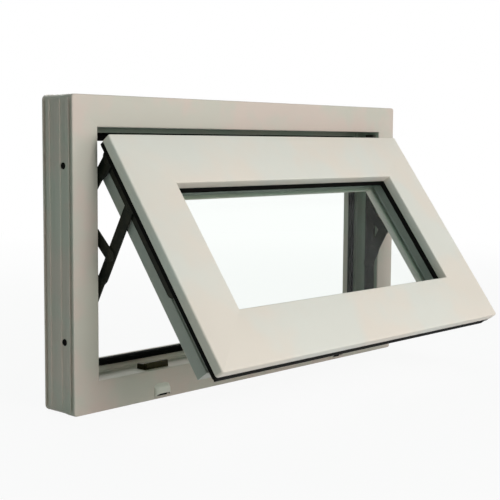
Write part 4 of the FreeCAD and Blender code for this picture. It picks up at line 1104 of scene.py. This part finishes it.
def hood_shell():
    """A bulging hood, open below, as rows of (x, depth, z) in millimetres.

    At u across (-1 to 1) and v down (0 to 1) it stands out by
    reach (0.2 + 0.8 sqrt(1 - u^4)) sin(90 degrees min(v / 0.5, 1)). Its top edge falls by
    3 u^4, its lip is lifted by the lip height times 1 - u^6, so that the cheeks reach down
    further, and the inner wall runs one wall's thickness behind.
    """
    u = np.sin(np.linspace(-math.pi / 2.0, math.pi / 2.0, 41))[:, None]
    v = np.linspace(0.0, 1.0, 21)[None]
    bulge = 0.2 + 0.8 * np.sqrt(np.maximum(1.0 - u ** 4, 0.0))
    out = CAP_REACH * bulge * np.sin(math.pi / 2.0 * np.clip(v / 0.5, 0.0, 1.0))
    top, lip = CAP_HIGH - 3.0 * u ** 4, CAP_LOW + CAP_LIP * (1.0 - u ** 6)
    height = top + (lip - top) * v
    inner_out = np.maximum(out - CAP_WALL, 0.0)
    inner_height = np.minimum(height, top - CAP_WALL)
    across = np.broadcast_to(u * CAP_LONG / 2.0, out.shape)
    outer = np.stack([across, -out, height], axis=-1)
    inner = np.stack([across, -inner_out, inner_height], axis=-1)[:, ::-1]
    return np.concatenate([outer, inner], axis=1)


class WINDOW_OT_sill_fittings(bpy.types.Operator):
    """Dress the two dark keeps and the two drain caps of the sill, with a thin black sheet of
    painted shade in each cap's opening
    """
    bl_idname = "window.sill_fittings"
    bl_label = "Sill Fittings"

    def execute(self, context):
        # painted shade: a thin black sheet inside each cap's hood stands for the shadowed opening
        # of the drain slot
        shade_sheet_span = SHADE_SHEET_LONG - SHADE_SHEET_HIGH
        slot = bar_shell(shade_sheet_span, SHADE_SHEET_HIGH, SHADE_SHEET_THICK, SHADE_SHEET_FOOT, soft=SHADE_SHEET_SOFT,
                         soft_foot=SHADE_SHEET_SOFT_FOOT)
        for side, place, way in zip(("left", "right"), KEEP_PLACE, (-1.0, 1.0)):
            base = np.array([place, KEEP_FRONT, SILL_TOP]) * MM
            add_piece("%s_keep" % side, posed(keep_shells(), base, ACROSS, UPWARDS),
                      "keep_bronze", ("keep_" + side,))
            hood = (hood_shell() + way * CAP_MIDDLE * ACROSS) * MM
            add_piece("%s_drain_cap" % side, [in_frame(hood)], "cap_plastic",
                      ("weep_cap_" + side,))
            base = in_frame(np.array([way * CAP_MIDDLE - shade_sheet_span / 2.0, 0.0,
                                      CAP_LOW + SHADE_SHEET_HIGH / 2.0]) * MM)
            add_piece("%s_drain_shade_sheet" % side, posed([slot], base, ACROSS, -INDOORS),
                      "seal_rubber")
        return {"FINISHED"}


# Lock and handle, in millimetres. Turned profiles are rows of (radius, height).

LOCK_SEAT, LOCK_THICK, LOCK_WIDE, LOCK_HALF, LOCK_SOFT = 21.0, 2.8, 15.6, 221.5, 0.4
LOCK_SCREWS, LOCK_SCREW_RADIUS, LOCK_SCREW_RISE = (-150.0, -75.0, 75.0, 150.0), 3.3, 0.5
CAM_PLACE = 190.5
CAM_PROFILE = [(2.6, 2.4), (2.6, 7.4), (3.4, 7.6), (3.5, 8.2), (3.4, 8.9), (2.9, 9.3), (0.3, 9.3)]
HANDLE_MIDDLE = (0.0, 60.0, 38.25)
PLATE_LONG, PLATE_WIDE, PLATE_THICK, PLATE_SOFT, PLATE_SOFT_FOOT = 122.0, 30.0, 11.0, 3.2, 0.3
COVER_PLACE = 40.0
COVER_PROFILE = [(5.2, PLATE_THICK - 0.4), (5.2, PLATE_THICK + 0.2), (4.8, PLATE_THICK + 0.5),
                 (0.4, PLATE_THICK + 0.7)]
NECK_PROFILE = [(11.0, 10.5), (11.0, 12.0), (10.2, 12.8), (9.5, 13.4), (9.3, 19.0), (9.5, 24.0),
                (9.0, 25.0)]
LEVER_START, LEVER_END, LEVER_TIP, LEVER_FOOT = -9.5, 118.0, 7.0, 22.5
LEVER_SOFT, LEVER_SOFT_FOOT = 3.6, 3.0


def centred_bar(long, width, thick, soft, soft_foot=0.6):
    """A flat bar with round ends whose middle is at 0 along."""
    span = long - width
    bar = bar_shell(span, width, thick, 0.0, soft=soft, soft_foot=soft_foot)
    return bar - np.array([span / 2.0, 0.0, 0.0])


class WINDOW_OT_lock_rail(bpy.types.Operator):
    """Dress the lock rail in the foot rail's groove, with two turned cams and its screws"""
    bl_idname = "window.lock_rail"
    bl_label = "Lock Rail"

    def execute(self, context):
        shells = [centred_bar(2.0 * LOCK_HALF, LOCK_WIDE, LOCK_THICK, LOCK_SOFT)]
        shells += [turned_shell(CAM_PROFILE, way * CAM_PLACE) for way in (-1.0, 1.0)]
        shells += [screw_shell(place, 0.0, LOCK_THICK, 1.0, LOCK_SCREW_RADIUS, LOCK_SCREW_RISE)
                   for place in LOCK_SCREWS]
        add_piece("lock_faceplate", on_sash(shells, (0.0, HARDWARE_LINE, LOCK_SEAT), -UPWARDS),
                  "lock_steel", ("lock_rail",))
        return {"FINISHED"}


def lever_shell():
    """The lever: rounded sections whose width dips by a sine towards the waist.

    Half width = 10 - 1.9 sin(180 degrees s)^0.8 - 0.6 s, thickness = 11 - 2.3 s, both in
    millimetres, with s from 0 at the neck to 1 at the tip. Over the tip's length at both ends
    the closing c goes from sin 0.12 to 1: the half width is taken times 0.45 + 0.55 c, less
    3 (1 - c), the foot rises by 2 (1 - c) and the top falls by 2.5 (1 - c).
    """
    turn = np.linspace(0.12, math.pi / 2.0, 8)
    tip = LEVER_TIP * (1.0 - np.cos(turn))
    between = np.linspace(LEVER_START + LEVER_TIP, LEVER_END - LEVER_TIP, 30)[1:-1]
    along = np.concatenate([LEVER_START + tip, between, LEVER_END - tip[::-1]])
    closing = np.concatenate([np.sin(turn), np.ones(len(between)), np.sin(turn[::-1])])
    share = (along - LEVER_START) / (LEVER_END - LEVER_START)
    half = 10.0 - 1.9 * np.sin(math.pi * np.clip(share, 0.0, 1.0)) ** 0.8 - 0.6 * share
    half = half * (0.45 + 0.55 * closing) - 3.0 * (1.0 - closing)
    low = LEVER_FOOT + 2.0 * (1.0 - closing)
    high = LEVER_FOOT + 11.0 - 2.3 * share - 2.5 * (1.0 - closing)
    return with_along(along, rounded_rings(half, low, high, LEVER_SOFT, LEVER_SOFT_FOOT))


class WINDOW_OT_handle(bpy.types.Operator):
    """Dress the indoor handle: rounded plate with screw covers, collared neck and lever"""
    bl_idname = "window.handle"
    bl_label = "Handle"

    def execute(self, context):
        plate = [centred_bar(PLATE_LONG, PLATE_WIDE, PLATE_THICK, PLATE_SOFT, PLATE_SOFT_FOOT)]
        plate += [turned_shell(COVER_PROFILE, way * COVER_PLACE) for way in (-1.0, 1.0)]
        grip = [turned_shell(NECK_PROFILE, count=40), lever_shell()]
        for name, shells, replaced in (("handle_backplate", plate, "handle_plate"),
                                       ("handle_grip", grip, "handle_lever")):
            add_piece(name, on_sash(shells, HANDLE_MIDDLE, INDOORS), "handle_paint",
                      (replaced,))
        return {"FINISHED"}


# Wall fixings, in millimetres, and carried solids

FIXING_HEIGHTS, FIXING_DEPTH, FIXING_FLOOR = (92.0, 312.0), 20.0, 1.2
PLUG_PROFILE = [(4.3, -0.5), (4.3, 0.3), (3.9, 0.6), (2.1, 0.6), (1.7, 0.1), (0.3, 0.1)]


class WINDOW_OT_wall_fixings(bpy.types.Operator):
    """Plug the wall fixings on the outer sides of the jambs"""
    bl_idname = "window.wall_fixings"
    bl_label = "Wall Fixings"

    def execute(self, context):
        half = sizes().frame_width / 2.0 - FIXING_FLOOR * MM
        for side, way in (("left", -1.0), ("right", 1.0)):
            shells = []
            for height in FIXING_HEIGHTS:
                base = in_frame(np.array([way * half, FIXING_DEPTH * MM, height * MM]))
                shells += posed([turned_shell(PLUG_PROFILE)], base, UPWARDS, way * ACROSS)
            add_piece("%s_fixing_plugs" % side, shells, "seal_rubber")
        return {"FINISHED"}


class WINDOW_OT_carried_nodes(bpy.types.Operator):
    """Give the solids that keep their own shape their finishes"""
    bl_idname = "window.carried_nodes"
    bl_label = "Carried Solids"

    def execute(self, context):
        for row in frame["record"]["subparts"]:
            solid = frame["nodes"][row["node"]]
            if not solid.hide_render:
                solid.data.materials.clear()
                solid.data.materials.append(finish(row["material_slot"]))
        return {"FINISHED"}


# Stage

FLOOR_REACH, FLOOR_COLOUR, FLOOR_ROUGH = 30.0, (0.78, 0.78, 0.78, 1.0), 0.9
# the floor's white share near the window, and the radii between which it climbs to 1
FLOOR_WHITE, FLOOR_NEAR, FLOOR_FAR = 0.92, 0.9, 2.6
ROOM_TINT = (0.64, 1.0, 0.88, 1.0)
LAMP_SIZE, LAMP_AIM = 1.0, Vector((0.0, -0.05, 0.18))
# three soft lamps in front and one behind: place, share of the power and tint
LAMPS = {
    "high_lamp": ((0.1, -1.8, 1.5), 0.20, (1.0, 0.975, 0.955)),
    "low_lamp": ((-0.35, -2.2, 0.7), 0.38, (1.0, 0.965, 0.95)),
    "right_lamp": ((1.3, -2.1, 0.6), 0.165, (1.0, 0.96, 0.94)),
    "rear_lamp": ((0.6, 1.8, 1.3), 0.30, (1.0, 1.0, 0.98)),
}
SENSOR_WIDTH, CLIP_START = 36.0, 0.01


def lay_floor():
    """A wide level sheet at the sill's underside, white to the camera but for the shadow."""
    mesh = bpy.data.meshes.new("floor")
    ways = ((-1, -1), (1, -1), (1, 1), (-1, 1))
    mesh.from_pydata([(x * FLOOR_REACH, y * FLOOR_REACH, CAD_LOW.z) for x, y in ways], [],
                     [(0, 1, 2, 3)])
    material, tree, shader = new_material("stage_floor", Base_Color=FLOOR_COLOUR,
                                          Roughness=FLOOR_ROUGH, Specular_IOR_Level=0.0)
    distance = node(tree, "VectorMath", (-700, 800), {"operation": "LENGTH"},
                    Vector=object_place(tree, (-900, 800)))
    share = ramp(tree, (-500, 800), distance.outputs["Value"], FLOOR_NEAR, FLOOR_FAR,
                 "SMOOTHSTEP", FLOOR_WHITE)
    white = node(tree, "Emission", (0, 500), Color=WHITE, Strength=1.0)
    mix_surfaces(tree, tree.nodes["Material Output"],
                 math_node(tree, "MULTIPLY", (100, 650), seen_by_eye(tree), share),
                 shader, white)
    mesh.materials.append(material)
    add_object("floor", mesh)


def light_world(stage):
    """Even pale light from all sides, white where it is seen."""
    world = bpy.data.worlds.new("pale_room")
    bpy.context.scene.world = world
    world.use_nodes = True
    tree = world.node_tree
    tree.nodes.clear()
    room = node(tree, "Background", (0, 0), Color=ROOM_TINT, Strength=stage.world_light)
    white = node(tree, "Background", (0, -200), Color=WHITE, Strength=1.0)
    mix_surfaces(tree, node(tree, "OutputWorld", (600, 0)), seen_by_eye(tree), room, white)


def hang_lamps(stage):
    """Square lamps, each turned towards the window."""
    for name, (place, share, tint) in LAMPS.items():
        data = bpy.data.lights.new(name, "AREA")
        data.size = LAMP_SIZE
        data.energy = stage.lamp_power * share
        data.color = tint
        aim = (LAMP_AIM - Vector(place)).to_track_quat("-Z", "Y").to_matrix().to_4x4()
        add_object(name, data).matrix_world = Matrix.Translation(place) @ aim


def set_camera(stage):
    """The camera fitted to the photograph's corners, with no shift and no blur."""
    data = bpy.data.cameras.new("photo_camera")
    data.lens = stage.lens
    data.sensor_width = SENSOR_WIDTH
    data.sensor_fit = "HORIZONTAL"
    data.clip_start = CLIP_START
    camera = add_object("photo_camera", data)
    camera.matrix_world = (Matrix.Translation(stage.camera_place)
                           @ Matrix.Rotation(-stage.yaw, 4, "Z")
                           @ Matrix.Rotation(math.pi / 2.0 - stage.pitch, 4, "X")
                           @ Matrix.Rotation(stage.roll, 4, "Z"))
    bpy.context.scene.camera = camera


class WINDOW_OT_stage(bpy.types.Operator):
    """Lay the pale floor, hang the lamps and set the camera"""
    bl_idname = "window.stage"
    bl_label = "Stage"

    def execute(self, context):
        stage = context.scene.window_stage
        lay_floor()
        light_world(stage)
        hang_lamps(stage)
        set_camera(stage)
        context.scene.view_settings.view_transform = "Standard"
        return {"FINISHED"}


OPERATORS = (
    WINDOW_OT_frame_rails, WINDOW_OT_frame_seals, WINDOW_OT_sash_rails, WINDOW_OT_sash_seals,
    WINDOW_OT_glazing_beads, WINDOW_OT_friction_stays, WINDOW_OT_sill_fittings,
    WINDOW_OT_lock_rail, WINDOW_OT_handle, WINDOW_OT_wall_fixings, WINDOW_OT_carried_nodes,
    WINDOW_OT_stage,
)


class WINDOW_PT_builder(bpy.types.Panel):
    """Buttons that build the window piece by piece"""
    bl_idname = "WINDOW_PT_builder"
    bl_label = "Top Hung Window"
    bl_space_type = "VIEW_3D"
    bl_region_type = "UI"
    bl_category = "Window"

    def draw(self, context):
        scene = context.scene
        for group in (scene.window_sizes, scene.window_colours, scene.window_stage):
            box = self.layout.box()
            for name in group.bl_rna.properties.keys():
                if name not in ("rna_type", "name"):
                    box.prop(group, name)
        for operator in OPERATORS:
            self.layout.operator(operator.bl_idname)


CLASSES = (WindowSizes, WindowColours, StageSettings) + OPERATORS + (WINDOW_PT_builder,)


def register():
    """Register every class and hang the settings on the scene."""
    for made in CLASSES:
        bpy.utils.register_class(made)
    bpy.types.Scene.window_sizes = PointerProperty(type=WindowSizes)
    bpy.types.Scene.window_colours = PointerProperty(type=WindowColours)
    bpy.types.Scene.window_stage = PointerProperty(type=StageSettings)


def unregister():
    """Take the settings and the classes away again."""
    del bpy.types.Scene.window_stage
    del bpy.types.Scene.window_colours
    del bpy.types.Scene.window_sizes
    for made in reversed(CLASSES):
        bpy.utils.unregister_class(made)


def main():
    """Build every piece."""
    register()
    for operator in OPERATORS:
        area, name = operator.bl_idname.split(".")
        getattr(getattr(bpy.ops, area), name)()


if __name__ == "__main__":
    main()
